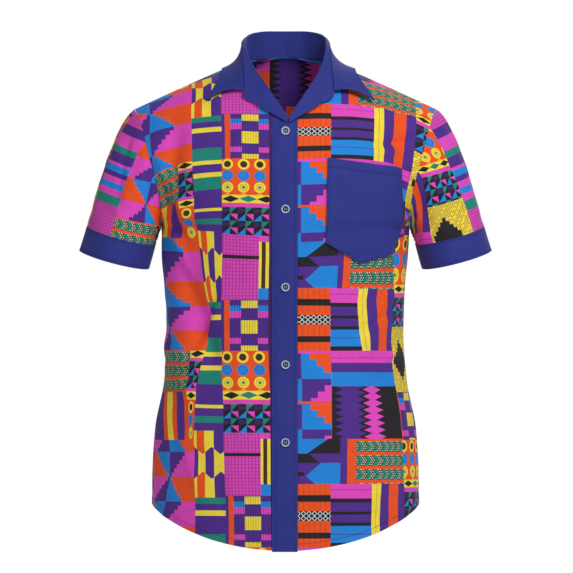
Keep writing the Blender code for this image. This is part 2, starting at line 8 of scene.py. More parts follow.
import bpy
import numpy as np
from mathutils import Matrix, Vector


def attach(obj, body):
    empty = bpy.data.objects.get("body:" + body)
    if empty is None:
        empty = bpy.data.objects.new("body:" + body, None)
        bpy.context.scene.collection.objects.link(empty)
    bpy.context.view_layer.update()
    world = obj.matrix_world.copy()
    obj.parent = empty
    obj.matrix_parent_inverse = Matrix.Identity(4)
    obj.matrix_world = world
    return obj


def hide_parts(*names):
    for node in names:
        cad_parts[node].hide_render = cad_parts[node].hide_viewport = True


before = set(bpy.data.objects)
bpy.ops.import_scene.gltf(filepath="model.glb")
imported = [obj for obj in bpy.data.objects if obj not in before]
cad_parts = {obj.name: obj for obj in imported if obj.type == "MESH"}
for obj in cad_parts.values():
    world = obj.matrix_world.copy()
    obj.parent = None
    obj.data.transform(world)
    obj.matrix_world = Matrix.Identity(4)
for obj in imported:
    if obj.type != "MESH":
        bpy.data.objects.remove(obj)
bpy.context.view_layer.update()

MM = 0.001
print("solids in the frame:", len(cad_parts))

# %% [markdown]
# ## Camera, floor and light
#
# A shirt for a catalogue is photographed from far off with a long lens, level with its middle, so that
# the hem and the shoulders are seen square on. A lens as long as this one shows no perspective to speak
# of. The light is a white room: an even glow from all round, a soft lamp above the camera at its right,
# a weak one at the left and one behind, which leave soft shade in the folds.

# %% Camera and studio
VIEW_CENTRE = Vector((0.0015, 0.0, -0.330))
VIEW_HEIGHT = 0.8595
CAMERA_DISTANCE = 30.0
SENSOR = 36.0
FLOOR_HEIGHT = -0.86
FLOOR_SIZE = 6.0
PAPER = "F4F4F4"
PAPER_ROUGHNESS = 0.9
LAMPS = (
    # name, place, size, watts
    ("key", (1.1, -2.3, 1.7), 1.1, 58.0),
    ("fill", (-2.2, -2.0, 0.4), 2.0, 5.0),
    ("back", (0.6, 2.6, 1.6), 2.4, 40.0),
)
GLOW = 0.23

scene = bpy.context.scene
scene.view_settings.view_transform = "Standard"


def put(name, data):
    """A new object in the scene."""
    made = bpy.data.objects.new(name, data)
    scene.collection.objects.link(made)
    return made


lens = bpy.data.cameras.new("camera")
lens.sensor_width = SENSOR
lens.lens = SENSOR * CAMERA_DISTANCE / VIEW_HEIGHT
lens.clip_end = 3 * CAMERA_DISTANCE
camera = put("camera", lens)
camera.location = VIEW_CENTRE + Vector((0, -CAMERA_DISTANCE, 0))
camera.rotation_euler = (np.pi / 2, 0, 0)
scene.camera = camera

for name, place, size, watts in LAMPS:
    lamp = bpy.data.lights.new(name, "AREA")
    lamp.shape = "DISK"
    lamp.size = size
    lamp.energy = watts
    stand = put(name, lamp)
    stand.location = place
    stand.rotation_euler = (VIEW_CENTRE - Vector(place)).to_track_quat("-Z", "Y").to_euler()


def linear(hex_colour):
    """An sRGB hex colour as linear red, green, blue and alpha."""
    parts = [int(hex_colour[i : i + 2], 16) / 255 for i in (0, 2, 4)]
    return [c / 12.92 if c <= 0.04045 else ((c + 0.055) / 1.055) ** 2.4 for c in parts] + [1.0]


def add(tree, kind, *values, out=0, **settings):
    """One node with its settings; each value is a socket to link, a constant, or None to leave."""
    node = tree.nodes.new("ShaderNode" + kind)
    for name, setting in settings.items():
        setattr(node, name, setting)
    for socket, value in zip(node.inputs, values):
        if isinstance(value, bpy.types.NodeSocket):
            tree.links.new(value, socket)
        elif value is not None:
            socket.default_value = value
    return node.outputs[out]


def new_material(name, **settings):
    """A material, its tree and its shader; the settings are plain values of the shader's own sockets."""
    made = bpy.data.materials.new(name)
    made.use_nodes = True
    shader = made.node_tree.nodes["Principled BSDF"]
    for socket, value in settings.items():
        shader.inputs[socket.replace("_", " ")].default_value = value
    return made, made.node_tree, shader


room = bpy.data.worlds.new("room")
scene.world = room
room.use_nodes = True
seen = add(room.node_tree, "LightPath")
strength = add(room.node_tree, "Math", seen, 1.0 - GLOW, GLOW, operation="MULTIPLY_ADD")
backdrop = room.node_tree.nodes["Background"]
backdrop.inputs["Color"].default_value = (1, 1, 1, 1)
room.node_tree.links.new(strength, backdrop.inputs["Strength"])

bpy.ops.object.select_all(action="DESELECT")
bpy.ops.mesh.primitive_plane_add(size=FLOOR_SIZE, location=(0, 0, 0))
floor = bpy.context.active_object
floor.name = "floor"
bpy.ops.object.mode_set(mode="EDIT")
bpy.ops.mesh.subdivide(number_cuts=3)
bpy.ops.transform.translate(value=(0, 0, FLOOR_HEIGHT))
bpy.ops.object.mode_set(mode="OBJECT")
# Background paper: off-white and dead matte, so the shirt's shadow falls on it and nothing shines back
paper = new_material("white_paper", Base_Color=linear(PAPER), Roughness=PAPER_ROUGHNESS)[0]
floor.data.materials.append(paper)
print("camera", round(lens.lens), "mm long, lamps", len(LAMPS))

# %% [markdown]
# ## The form the cloth lies on
#
# A worn shirt has no flat part. It could be draped on a figure by simulation, but then seams and print
# would land where they like. Here each front and the back is a smooth surface through a few levels,
# from the shoulder to below the hem, and long folds push it out and in. The tables are the same as in
# the solids, in millimetres, so the finer cloth lies just where its solid does.

# %% Sizes and tables
WALL = 1.2
BAND_WALL = 1.6
SEAM_GAP = 0.3
LAYER_GAP = 0.6
POCKET_LIFT = 2.1
SIDE_TRIM = 0.0012
RIDGE = 14.0
CREST_ROUND = 0.2
NECK_HALF_WIDTH = 62.0
BACK_NECK_GIRTH = 78.0
PLACKET_LEFT_EDGE = -20.0
PLACKET_RIGHT_EDGE = 18.0
STRIP_TOP_CURVE = 55.0
PLACKET_TOP = ((3.0, -84.5), (7.0, -80.0), (11.0, -74.0), (14.5, -68.0), (18.0, -62.0))
BAND_TOP = ((-20.0, -53.0), (-12.0, -64.0), (-4.0, -76.0), (7.0, -88.0), (18.0, -92.0))
HEM_SIDE_HEIGHT = -655.0
HEM_DROP = 70.0
HEM_CURVE = 1.5

LEVEL_COLUMNS = ("centre_y", "centre_z", "edge_x", "edge_y", "edge_z", "turn")
FRONT = (
    (0, 26, 226, 0, -64, 48),
    (-42, 13, 221, -24, -76, 50),
    (-76, -20, 213, -46, -100, 54),
    (-100, -68, 204, -58, -136, 60),
    (-117, -126, 196, -62, -166, 66),
    (-127, -182, 189, -53, -200, 74),
    (-129, -226, 186.5, -29, -229, 84),
    (-128, -252, 186, 4, -243, 90),
    (-123, -332, 179, 6, -334, 90),
    (-117, -400, 177, 8, -400, 90),
    (-119, -470, 182, 8, -470, 90),
    (-127, -545, 196, 8, -545, 90),
    (-132, -620, 200, 8, -620, 90),
    (-134, -690, 200, 8, -690, 90),
    (-135, -760, 200, 8, -760, 90),
)
BACK = (
    (0, 26, 226, 0, -64, 48),
    (40, 24, 222, 24, -75, 50),
    (74, 16.5, 214, 46, -98, 54),
    (98, -30, 205, 58, -134, 60),
    (112, -94, 197, 62, -166, 66),
    (118, -164, 190, 55, -200, 74),
    (117, -224, 187, 32, -229, 84),
    (114, -252, 186, 4, -243, 90),
    (104, -332, 179, 6, -334, 90),
    (94, -400, 177, 8, -400, 90),
    (102, -470, 182, 8, -470, 90),
    (117, -545, 196, 8, -545, 90),
    (125, -620, 200, 8, -620, 90),
    (129, -690, 200, 8, -690, 90),
    (130, -760, 200, 8, -760, 90),
)
SIDE_SEAM = (
    (186, 4, -243),
    (184, 5, -280),
    (179, 6, -334),
    (177, 8, -400),
    (182, 8, -470),
    (196, 8, -545),
    (200, 8, -620),
    (200, 8, -760),
)

# Each fold runs from (x0, z0) to (x1, z1) and stands out, or in where its depth is negative. The first
# rows are the large folds of the solids, and the rest are creases that only this finer cloth can hold.
FOLD_COLUMNS = ("x0", "z0", "x1", "z1", "half_width", "depth")
FRONT_FOLDS = (
    (-176, -262, -128, -560, 20, 9),
    (-150, -300, -106, -450, 13, -9),
    (-164, -90, -178, -215, 14, -7),
    (-186, -150, -150, -230, 12, 5),
    (168, -80, 186, -205, 16, -8),
    (150, -120, 172, -250, 14, 5),
    (172, -330, 118, -420, 16, 6),
    (176, -390, 130, -520, 16, -5),
    (-186, -400, -150, -480, 16, 5),
)
FRONT_CREASES = (
    (-104, -340, -142, -436, 6, -5.1),
    (-98, -352, -132, -446, 7, 4.3),
    (126, -120, 196, -108, 6, -4.3),
    (122, -131, 190, -124, 7, 3.1),
    (-190, -170, -150, -262, 6, -4.7),
    (-182, -210, -134, -330, 7, 3.9),
    (184, -150, 196, -196, 6, -4.3),
    (180, -232, 150, -330, 7, -3.9),
    (168, -236, 132, -318, 9, 3.5),
    (172, -352, 112, -400, 7, -4.3),
    (176, -420, 138, -452, 7, 3.9),
    (-176, -440, -132, -470, 7, -3.9),
    (-168, -520, -128, -640, 10, 3.5),
    (-72, -430, -60, -560, 14, 2.3),
    (60, -470, 74, -610, 14, 2.7),
    (150, -540, 138, -660, 11, 3.5),
    (104, -560, 96, -690, 10, -2.3),
    (-100, -600, -92, -690, 9, -2.3),
    (-60, -100, -92, -190, 12, 2.0),
)
BACK_FOLDS = (
    (-160, -120, -120, -420, 22, 7),
    (-120, -200, -84, -470, 18, -6),
    (158, -130, 126, -400, 22, 7),
    (118, -210, 90, -480, 18, -6),
    (-150, -380, -60, -470, 18, 5),
    (150, -390, 70, -460, 18, 5),
    (0, -330, 0, -500, 26, -5),
)
BACK_CREASES = (
    (-176, -236, -140, -330, 7, -3.4),
    (176, -240, 142, -338, 7, -3.1),
    (-170, -380, -100, -412, 6, -3.1),
    (168, -396, 96, -424, 7, -2.8),
    (-60, -418, 40, -404, 8, 2.5),
    (-40, -446, 66, -438, 7, -2.2),
    (-120, -520, -112, -680, 12, 2.5),
    (-44, -540, -40, -700, 12, -2.0),
    (52, -530, 60, -690, 13, 2.2),
    (128, -520, 122, -670, 11, -2.2),
    (-120, -90, -60, -118, 10, 2.0),
    (116, -94, 62, -126, 10, 1.7),
)
# Seeded soft unevenness, as pressed cotton has: its height and the range of its wave lengths
UNEVEN = 0.65
UNEVEN_LENGTHS = (34.0, 96.0)
UNEVEN_WAVES = 14
# Seams hold the cloth still: folds and creases grow from 0 over this share of a turn and this girth
FOLD_CALM = (0.12, 40.0)
CREASE_CALM = (0.10, 30.0)
# Counts of levels and turns at which a body is measured, and the steps that its normals are taken over
BODY_GRID = (161, 61)
TURN_STEP = 0.004
GIRTH_STEP = 1.0
# The search for the point that shows at a given x and z: where it starts, and how it goes on
FIND_FROM = 150.0
FIND_LEAST = 4.0
FIND_ROUNDS = 60
FIND_PACE = 0.7
# A fold is as high along its way as half a wave: how much of the wave is left off at each of its ends,
# and a power that makes its middle longer
FOLD_END = 0.08
FOLD_FULLNESS = 0.7


# %% [markdown]
# A front is addressed by two numbers: girth, the way down its centre line from the shoulder, and turn,
# from 0 at the centre to 1 or -1 at the side seam. The same two numbers give the print its place. A
# pattern drawn in straight projection would smear on the shoulders and the flanks, so each point keeps
# where it lay on the flat cloth: the length across its level, and the girth.

# %% Surface
def smooth(at, known, values):
    """A cubic through the known values, with no overshoot between them."""
    known = np.asarray(known, float)
    values = np.asarray(values, float)
    steps = np.diff(known)
    slopes = np.diff(values) / steps
    tangents = np.zeros(len(known))
    rising = slopes[:-1] * slopes[1:] > 0
    harmonic = 2 * slopes[:-1] * slopes[1:] / np.where(rising, slopes[:-1] + slopes[1:], 1.0)
    tangents[1:-1] = np.where(rising, harmonic, 0.0)
    tangents[0] = slopes[0]
    tangents[-1] = slopes[-1]
    i = np.clip(np.searchsorted(known, at) - 1, 0, len(steps) - 1)
    t = (at - known[i]) / steps[i]
    return (
        values[i] * (1 + 2 * t) * (1 - t) ** 2
        + tangents[i] * steps[i] * t * (1 - t) ** 2
        + values[i + 1] * t**2 * (3 - 2 * t)
        - tangents[i + 1] * steps[i] * t**2 * (1 - t)
    )


def paired(*values):
    """The values as arrays of one shape."""
    return np.broadcast_arrays(*(np.asarray(value, float) for value in values))


def lengths_along(points, axis):
    """How far each point lies along its grid line, from the line's first point."""
    runs = np.linalg.norm(np.diff(points, axis=axis), axis=-1)
    return np.insert(np.cumsum(runs, axis=axis), 0, 0.0, axis=axis)


def unit(vectors):
    return vectors / np.maximum(np.linalg.norm(vectors, axis=-1, keepdims=True), 1e-9)


def ease(value):
    value = np.clip(value, 0, 1)
    return value * value * (3 - 2 * value)


class Uneven:
    """Soft waves of many lengths and ways, the same each run."""

    def __init__(self, seed):
        chance = np.random.default_rng(seed)
        length = np.geomspace(*UNEVEN_LENGTHS, UNEVEN_WAVES)
        way = chance.uniform(0, np.pi, UNEVEN_WAVES)
        self.waves = np.stack([np.cos(way), np.sin(way)]) * 2 * np.pi / length
        self.shift = chance.uniform(0, 2 * np.pi, UNEVEN_WAVES)

    def height(self, flat):
        return np.sin(flat @ self.waves + self.shift).sum(-1) * UNEVEN / np.sqrt(UNEVEN_WAVES)


def calm(turn, girth, spans):
    """1 over most of a panel, and 0 at its side seam and its shoulder seam."""
    return ease((1 - np.abs(turn)) / spans[0]) * ease(girth / spans[1])


def fold_heights(flat, folds):
    """How far a table of folds moves points of a plane."""
    height = np.zeros(flat.shape[:-1])
    for row in folds:
        fold = dict(zip(FOLD_COLUMNS, row))
        start = np.array([fold["x0"], fold["z0"]], float)
        along = np.array([fold["x1"], fold["z1"]], float) - start
        offset = flat - start
        share = np.clip(offset @ along / (along @ along), 0, 1)
        away = np.linalg.norm(offset - share[..., None] * along, axis=-1)
        fade = np.sin(np.pi * (FOLD_END + (1 - 2 * FOLD_END) * share)) ** FOLD_FULLNESS
        height += fold["depth"] * fade * np.exp(-((away / fold["half_width"]) ** 2))
    return height


class Body:
    """The cloth round the front or the back, as a smooth surface under its folds."""

    def __init__(self, levels, folds, creases, seed):
        self.columns = dict(zip(LEVEL_COLUMNS, np.array(levels, float).T))
        runs = np.hypot(np.diff(self.columns["centre_y"]), np.diff(self.columns["centre_z"]))
        self.girths = np.concatenate([[0], np.cumsum(runs)])
        self.folds = folds
        self.creases = creases
        self.uneven = Uneven(seed)
        self.side = -1.0 if levels[-1][0] < 0 else 1.0
        self.measure()

    def measure(self):
        """Lengths across the levels, on a grid of girths and turns."""
        self.grid_girths = np.linspace(0, self.girths[-1], BODY_GRID[0])
        self.grid_turns = np.linspace(0, 1, BODY_GRID[1])
        points = self.plain(self.grid_turns[None], self.grid_girths[:, None])
        self.across = lengths_along(points, 1)
        down = lengths_along(points, 0)
        girths = self.grid_girths[:, None]
        at_armpit = np.array([np.interp(self.armpit(), self.grid_girths, column) for column in down.T])
        above = self.armpit() - (at_armpit - down)
        self.down = np.where(girths < self.armpit(), above, girths)

    def level(self, name, girth):
        return smooth(girth, self.girths, self.columns[name])

    def edge(self, girth):
        """x, y and z of the armhole and, below it, of the side seam."""
        edge_z = self.level("edge_z", girth)
        seam_x, seam_y, seam_z = np.array(SIDE_SEAM, float).T
        below = edge_z < seam_z[0]
        edge_x = np.where(below, smooth(-edge_z, -seam_z, seam_x), self.level("edge_x", girth))
        edge_y = np.where(below, smooth(-edge_z, -seam_z, seam_y), self.level("edge_y", girth))
        return edge_x, edge_y, edge_z

    def armpit(self):
        return self.girths[list(self.columns["turn"]).index(90)]

    def plain(self, turn, girth):
        """Points before the folds."""
        turn, girth = paired(turn, girth)
        span = np.radians(self.level("turn", girth))
        centre_y = self.level("centre_y", girth)
        centre_z = self.level("centre_z", girth)
        edge_x, edge_y, edge_z = self.edge(girth)
        x = edge_x * np.sin(turn * span) / np.sin(span)
        bow = (1 - np.cos(turn * span)) / (1 - np.cos(span))
        y = centre_y + (edge_y - centre_y) * bow
        reach = np.abs(x / edge_x)
        across = reach**2 * (1 + CREST_ROUND) / (reach + CREST_ROUND)
        z = centre_z + (edge_z - centre_z) * across
        return np.stack([x, y, z], -1)

    def flat(self, turn, girth):
        """Where a point lay on the flat cloth: across it from the centre line, and down it."""
        turn, girth = paired(turn, girth)
        row = girth / self.girths[-1] * (len(self.grid_girths) - 1)
        column = np.abs(turn) * (len(self.grid_turns) - 1)
        r = np.clip(row.astype(int), 0, len(self.grid_girths) - 2)
        c = np.clip(column.astype(int), 0, len(self.grid_turns) - 2)
        below, beside = row - r, column - c
        found = []
        for grid in (self.across, self.down):
            upper = grid[r, c] * (1 - beside) + grid[r, c + 1] * beside
            lower = grid[r + 1, c] * (1 - beside) + grid[r + 1, c + 1] * beside
            found.append(upper * (1 - below) + lower * below)
        return np.stack([np.sign(turn) * found[0], found[1]], -1)

    def normal(self, turn, girth, surface=None):
        surface = surface or self.plain
        turn, girth = paired(turn, girth)
        across = surface(turn + TURN_STEP, girth) - surface(turn - TURN_STEP, girth)
        low = np.maximum(girth - GIRTH_STEP, 0.0)
        down = surface(turn, girth + GIRTH_STEP) - surface(turn, low)
        out = unit(np.cross(across, down)) * self.side
        out[..., 1] *= ease(girth / RIDGE)
        return unit(out)

    def folded(self, turn, girth):
        base = self.plain(turn, girth)
        height = fold_heights(base[..., [0, 2]], self.folds) * calm(turn, girth, FOLD_CALM)
        return base + self.normal(turn, girth) * height[..., None]

    def facing(self, turn, girth):
        """Outward normals of the folded cloth."""
        return self.normal(turn, girth, self.folded)

    def fine(self, turn, girth):
        """How far the creases and the unevenness move each point."""
        base = self.plain(turn, girth)
        height = fold_heights(base[..., [0, 2]], self.creases) + self.uneven.height(self.flat(turn, girth))
        return height * calm(turn, girth, CREASE_CALM)

    def points(self, turn, girth, lift=0.0, fine=1.0):
        turn, girth = paired(turn, girth)
        out = self.facing(turn, girth)
        height = np.asarray(lift, float) + fine * self.fine(turn, girth)
        return self.folded(turn, girth) + out * height[..., None]

    def find(self, x, z):
        """turn and girth of the points that show at x and z."""
        x, z = paired(x, z)
        girth = np.full(x.shape, FIND_FROM)
        turn = np.zeros(x.shape)
        for _ in range(FIND_ROUNDS):
            span = np.radians(self.level("turn", girth))
            ratio = np.clip(x / self.edge(girth)[0] * np.sin(span), -1, 1)
            turn = np.clip(np.arcsin(ratio) / span, -1, 1)
            error = self.plain(turn, girth)[..., 2] - z
            girth = np.clip(girth + FIND_PACE * error, FIND_LEAST, self.girths[-1])
        return turn, girth


front = Body(FRONT, FRONT_FOLDS, FRONT_CREASES, seed=11)
back = Body(BACK, BACK_FOLDS, BACK_CREASES, seed=12)
print("front girth", round(front.girths[-1]), "mm, back girth", round(back.girths[-1]), "mm")

# %% [markdown]
# ## Turning grids of points to cloth
#
# A plane with a Solidify modifier would do for a flap, but each shell here has to meet its neighbours
# along exact seams. So a piece is a grid of points for the outer face and one for the inner, stitched
# along their rims to one closed wall. The cut of the cloth, in millimetres, goes along as the UV map.

# %% Cloth walls
SHARP_ANGLE = np.radians(50)


def quads(rows, columns, last):
    """Index grids of the corners of each cell: row, column on a ring, and column on the flat cut."""
    r, c = np.meshgrid(np.arange(rows - 1), np.arange(last), indexing="ij")
    d = (c + 1) % columns
    return ((r, c, c), (r, d, c + 1), (r + 1, d, c + 1), (r + 1, c, c))


def wall(name, outer, inner, cut, finish, around=False):
    """A closed thin wall between two grids of points in millimetres; around joins last to first."""
    rows, columns = outer.shape[:2]
    count = rows * columns
    points = np.concatenate([outer.reshape(-1, 3), inner.reshape(-1, 3)]) * MM
    last = columns if around else columns - 1
    corners = quads(rows, columns, last)
    face = np.stack([r * columns + c for r, c, _ in corners], -1).reshape(-1, 4)
    laid = np.stack([cut[r, k] for r, _, k in corners], -2).reshape(-1, 4, 2)
    rims = [((0, c + 1), (0, c)) for c in range(last)]
    rims += [((rows - 1, c), (rows - 1, c + 1)) for c in range(last)]
    if not around:
        rims += [((r, 0), (r + 1, 0)) for r in range(rows - 1)]
        rims += [((r + 1, columns - 1), (r, columns - 1)) for r in range(rows - 1)]
    ends = np.array([[r * columns + c % columns for r, c in pair] for pair in rims])
    rim = np.stack([ends[:, 0], ends[:, 1], ends[:, 1] + count, ends[:, 0] + count], -1)
    edge = np.array([[cut[spot] for spot in pair] for pair in rims])
    edge = np.stack([edge[:, 0], edge[:, 1], edge[:, 1], edge[:, 0]], 1)
    faces = np.concatenate([face, face[:, ::-1] + count, rim])
    maps = np.concatenate([laid, laid[:, ::-1], edge])
    a, b, c, d = (points[faces[:, k]] for k in range(4))
    volume = np.einsum("ij,ij->", a, np.cross(b, c)) + np.einsum("ij,ij->", a, np.cross(c, d))
    if volume < 0:
        faces, maps = faces[:, ::-1], maps[:, ::-1]
    mesh = bpy.data.meshes.new(name)
    mesh.from_pydata(points.tolist(), [], faces.tolist())
    mesh.uv_layers.new(name="cut").data.foreach_set("uv", maps.reshape(-1))
    mesh.materials.append(finish)
    mesh.shade_smooth()
    mesh.set_sharp_from_angle(angle=SHARP_ANGLE)
    return put(name, mesh)


def both_faces(middle, thick):
    """Outer and inner grids of a wall laid half to each side of a grid of points."""
    across = np.gradient(middle, axis=1)
    along = np.gradient(middle, axis=0)
    out = unit(np.cross(across, along))
    return middle + out * thick / 2, middle - out * thick / 2


def grid_cut(middle):
    """The flat cut of a small piece, measured along its own grid lines."""
    across = lengths_along(middle, 1)
    return np.stack([across - across.mean(axis=1, keepdims=True), lengths_along(middle, 0)], -1)


def flat_area(cut):
    """Area in square millimetres of a cut's outline grid."""
    one, two = cut[1:, 1:] - cut[:-1, :-1], cut[1:, :-1] - cut[:-1, 1:]
    return np.abs(one[..., 0] * two[..., 1] - one[..., 1] * two[..., 0]).sum() / 2


def dress(piece, node, cut):
    """The piece stands for its node, rides with the shirt, and the size and area of its flat cut are
    printed.
    """
    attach(piece, "root")
    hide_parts(node)
    width, length = (cut.reshape(-1, 2).max(axis=0) - cut.reshape(-1, 2).min(axis=0)) * MM
    area = min(flat_area(cut) * MM * MM, width * length)
    print(f"{piece.name}: {width * 1000:.0f} x {length * 1000:.0f} mm, {area:.4f} m2")


# %% [markdown]
# ## The plain cloth
#
# Collar, bands, placket and pocket are a dyed cotton poplin: a fine, even plain weave with a faint soft
# sheen. Its threads are a third of a millimetre wide, too fine to show, so they are drawn at twice
# that. The bump follows the cut of each piece, as the grain of real cloth does.

# %% Blue poplin
THREAD = 0.35
THREADS_DRAWN = 2.0
COTTON_IOR = 1.5
COTTON_ROUGHNESS = 0.82
COTTON_SHEEN = 0.06
SHEEN_ROUGHNESS = 0.45
ROUGHNESS_SPREAD = 0.06
WEAVE_STRENGTH = 0.25
WEAVE_HEIGHT = 0.0003
SLUB_SCALE = 0.11
# The middle part of a noise, spread over a material's own range
NOISE = (0.3, 0.7)


def paint(tree, shader, colour, tone, rough):
    """Colour, made paler and darker by a tone, and the roughness that goes with it."""
    toned = add(tree, "VectorMath", colour, operation="SCALE")
    tree.links.new(tone, toned.node.inputs["Scale"])
    tree.links.new(toned, shader.inputs["Base Color"])
    tree.links.new(rough, shader.inputs["Roughness"])


def dye(tree, hex_colour):
    """One plain colour."""
    colour = add(tree, "RGB")
    colour.default_value = linear(hex_colour)
    return colour


def cotton(name):
    """A cotton material and its tree, shader and cut, with the settings that all cotton here shares."""
    sheen = {"Sheen_Weight": COTTON_SHEEN, "Sheen_Roughness": SHEEN_ROUGHNESS}
    made, tree, shader = new_material(name, IOR=COTTON_IOR, **sheen)
    return made, tree, shader, add(tree, "UVMap", uv_map="cut")


def weave(tree, shader, cut, colour):
    """Over-and-under threads in colour, bump and roughness."""
    across = add(tree, "SeparateXYZ", cut, out=0)
    down = add(tree, "SeparateXYZ", cut, out=1)
    per_mm = np.pi / (THREAD * THREADS_DRAWN)
    warp = add(tree, "Math", add(tree, "Math", across, per_mm, operation="MULTIPLY"), operation="SINE")
    weft = add(tree, "Math", add(tree, "Math", down, per_mm, operation="MULTIPLY"), operation="SINE")
    over = add(tree, "Math", warp, weft, operation="MULTIPLY")
    slub = add(tree, "TexNoise", cut, None, SLUB_SCALE, 3.0, 0.55)
    height = add(tree, "Math", over, 0.5, slub, operation="MULTIPLY_ADD")
    bump = add(tree, "Bump", WEAVE_STRENGTH, WEAVE_HEIGHT, None, height)
    tree.links.new(bump, shader.inputs["Normal"])
    shade = add(tree, "MapRange", slub, *NOISE, 0.93, 1.05)
    thread = add(tree, "MapRange", over, -1.0, 1.0, 0.975, 1.015)
    tone = add(tree, "Math", shade, thread, operation="MULTIPLY")
    rough_range = (COTTON_ROUGHNESS - ROUGHNESS_SPREAD, COTTON_ROUGHNESS + ROUGHNESS_SPREAD)
    rough = add(tree, "MapRange", slub, *NOISE, *rough_range)
    paint(tree, shader, colour, tone, rough)


# Cotton poplin, woven plain and dyed in the piece: even deep blue, matte, with a fine thread grain
BLUE = "26308C"
poplin, tree, shader, cut = cotton("dyed_cotton_poplin")
weave(tree, shader, cut, dye(tree, BLUE))
print("poplin nodes:", len(tree.nodes))

# %% [markdown]
# ## The printed cloth
#
# The print imitates narrow woven strips sewn side by side, the old West African way of making a
# patterned cloth. Each strip is a stack of small traditional blocks: stripes, steps, rings, diamonds,
# triangles, chevrons and zigzags. A picture of the cloth would do, but then the pattern is a photograph.
# Here each block is drawn by arithmetic on the cut, in millimetres: how far across the cloth a point
# lies, and how far down. The whole chart repeats down the cloth, and the order of strips across it.

# %% Numbers and colours that shaders work out
INKS = {
    "orange": "FA5410",
    "white": "EDEBE6",
    "pink": "EC48C8",
    "magenta": "AE2C96",
    "purple": "4F2591",
    "plum": "3A1C62",
    "sky": "108AE6",
    "green": "0C8C7C",
    "yellow": "FFE640",
    "ochre": "B8963A",
    "black": "17121A",
    "brown": "46240F",
    "cream": "EFE3B4",
}


class Number:
    """A number that a shader works out, so that a pattern reads as plain arithmetic."""

    def __init__(self, tree, socket):
        self.tree = tree
        self.socket = socket

    def by(self, operation, *others):
        others = [o.socket if isinstance(o, Number) else o for o in others]
        return Number(self.tree, add(self.tree, "Math", self.socket, *others, operation=operation))

    def __add__(self, other):
        return self.by("ADD", other)

    def __sub__(self, other):
        return self.by("SUBTRACT", other)

    def __mul__(self, other):
        return self.by("MULTIPLY", other)

    def __gt__(self, other):
        return self.by("GREATER_THAN", other)

    def __lt__(self, other):
        return self.by("LESS_THAN", other)

    def __abs__(self):
        return self.by("ABSOLUTE")

    def zigzag(self, half):
        """Up from 0 to half and down again, over and over."""
        return self.by("PINGPONG", half)

    def within(self, period):
        """What is left after whole periods."""
        return self.by("FLOORED_MODULO", period)

    def whole(self, step):
        """Down to a whole number of steps."""
        return self.by("SNAP", step)

    def between(self, low, high):
        return (self > low) * (self < high)


def ink(name):
    return tuple(linear(INKS[name]))


def lay(mask, under, over):
    """One colour printed over another where the mask is 1."""
    under, over = (ink(c) if isinstance(c, str) else c for c in (under, over))
    skipped = (None,) * 5
    return add(mask.tree, "Mix", mask.socket, *skipped, under, over, out=2, data_type="RGBA")


def stack(at, layers):
    """Blocks one after another: each starts at its place and goes on to the next."""
    colour = layers[0][1]
    for start, layer in layers[1:]:
        colour = lay(at > start, colour, layer)
    return colour


def bands(at, start, rows):
    """Stripes: a width and an ink for each, from start."""
    total = sum(width for width, _ in rows)
    share = add(at.tree, "MapRange", at.socket, start, start + total)
    painted = add(at.tree, "ValToRGB", share)
    ramp = painted.node.color_ramp
    ramp.interpolation = "CONSTANT"
    place = 0.0
    for k, (width, name) in enumerate(rows):
        spot = ramp.elements[k] if k < 2 else ramp.elements.new(place / total)
        spot.position = place / total
        spot.color = ink(name)
        place += width
    return painted


def ribs(x, colour, pitch, line=0.9, strength=0.35):
    """Thin dark lines at a pitch, as the ribs of a heavy weave print."""
    return lay((x.within(pitch) < line) * strength, colour, "black")


# %% [markdown]
# The motifs come next, each as a small function of how far across and down its block a point lies.

# %% Motifs
RING_PITCH = (24.5, 19.0)
RING_RADIUS = 8.8


def rings(x, y):
    """Three rows of rings on orange: brown hearts, blue discs and yellow targets."""
    across = x.within(RING_PITCH[0]) - RING_PITCH[0] / 2
    down = y.within(RING_PITCH[1]) - RING_PITCH[1] / 2
    radius = (across * across + down * down).by("SQRT")
    heart = bands(radius, 0, ((5.3, "brown"), (RING_RADIUS - 5.3, "yellow"), (9, "orange")))
    disc = bands(radius, 0, ((5.6, "sky"), (0.5, "purple"), (RING_RADIUS - 6.1, "sky"), (9, "orange")))
    rows = ((1.9, "green"), (0.7, "ochre"), (2.2, "yellow"), (0.8, "ochre"))
    target = bands(radius, 0, rows + ((RING_RADIUS - 5.6, "yellow"), (9, "orange")))
    return stack(y, ((0, heart), (RING_PITCH[1], disc), (2 * RING_PITCH[1], target)))


def diamonds(x, y, height=15.0, half=13.5):
    """Green and black diamonds in turn on yellow, between thin orange lines."""
    dark = lay(x.within(4 * half) < 2 * half, "green", "black")
    reach = abs(x.within(2 * half) - half) * (1 / half)
    inside = (reach + abs(y - height / 2) * (1 / (height * 0.36))) < 1.0
    return lay(inside, lay(abs(y - height / 2) > height * 0.44, "yellow", "orange"), dark)


def triangles(x, y, wide=12.2, high=10.7):
    """Small right triangles on black, green above and blue and pink below, with purple wedges."""
    a = x.within(wide) * (1 / wide)
    b = y.within(high) * (1 / high)
    odd = x.within(2 * wide) > wide
    low = y.within(2 * high) > high
    upper = lay((a + b * 0.9) < 0.92, "black", "green")
    wedge = lay(abs(b - 0.5) < (a * -0.35 + 0.46), "black", "plum")
    pink = lay((b - a * 0.9) < 0.02, "black", "pink")
    blue = lay((a + b) > 0.98, "black", "sky")
    return lay(low, lay(odd, wedge, upper), lay(odd, blue, pink))


def plaid(x, y):
    """Pink, crossed by fine lines."""
    lined = ribs(y, ink("pink"), 5.0, 1.5, 0.30)
    return ribs(x, lined, 5.3, 1.3, 0.42)


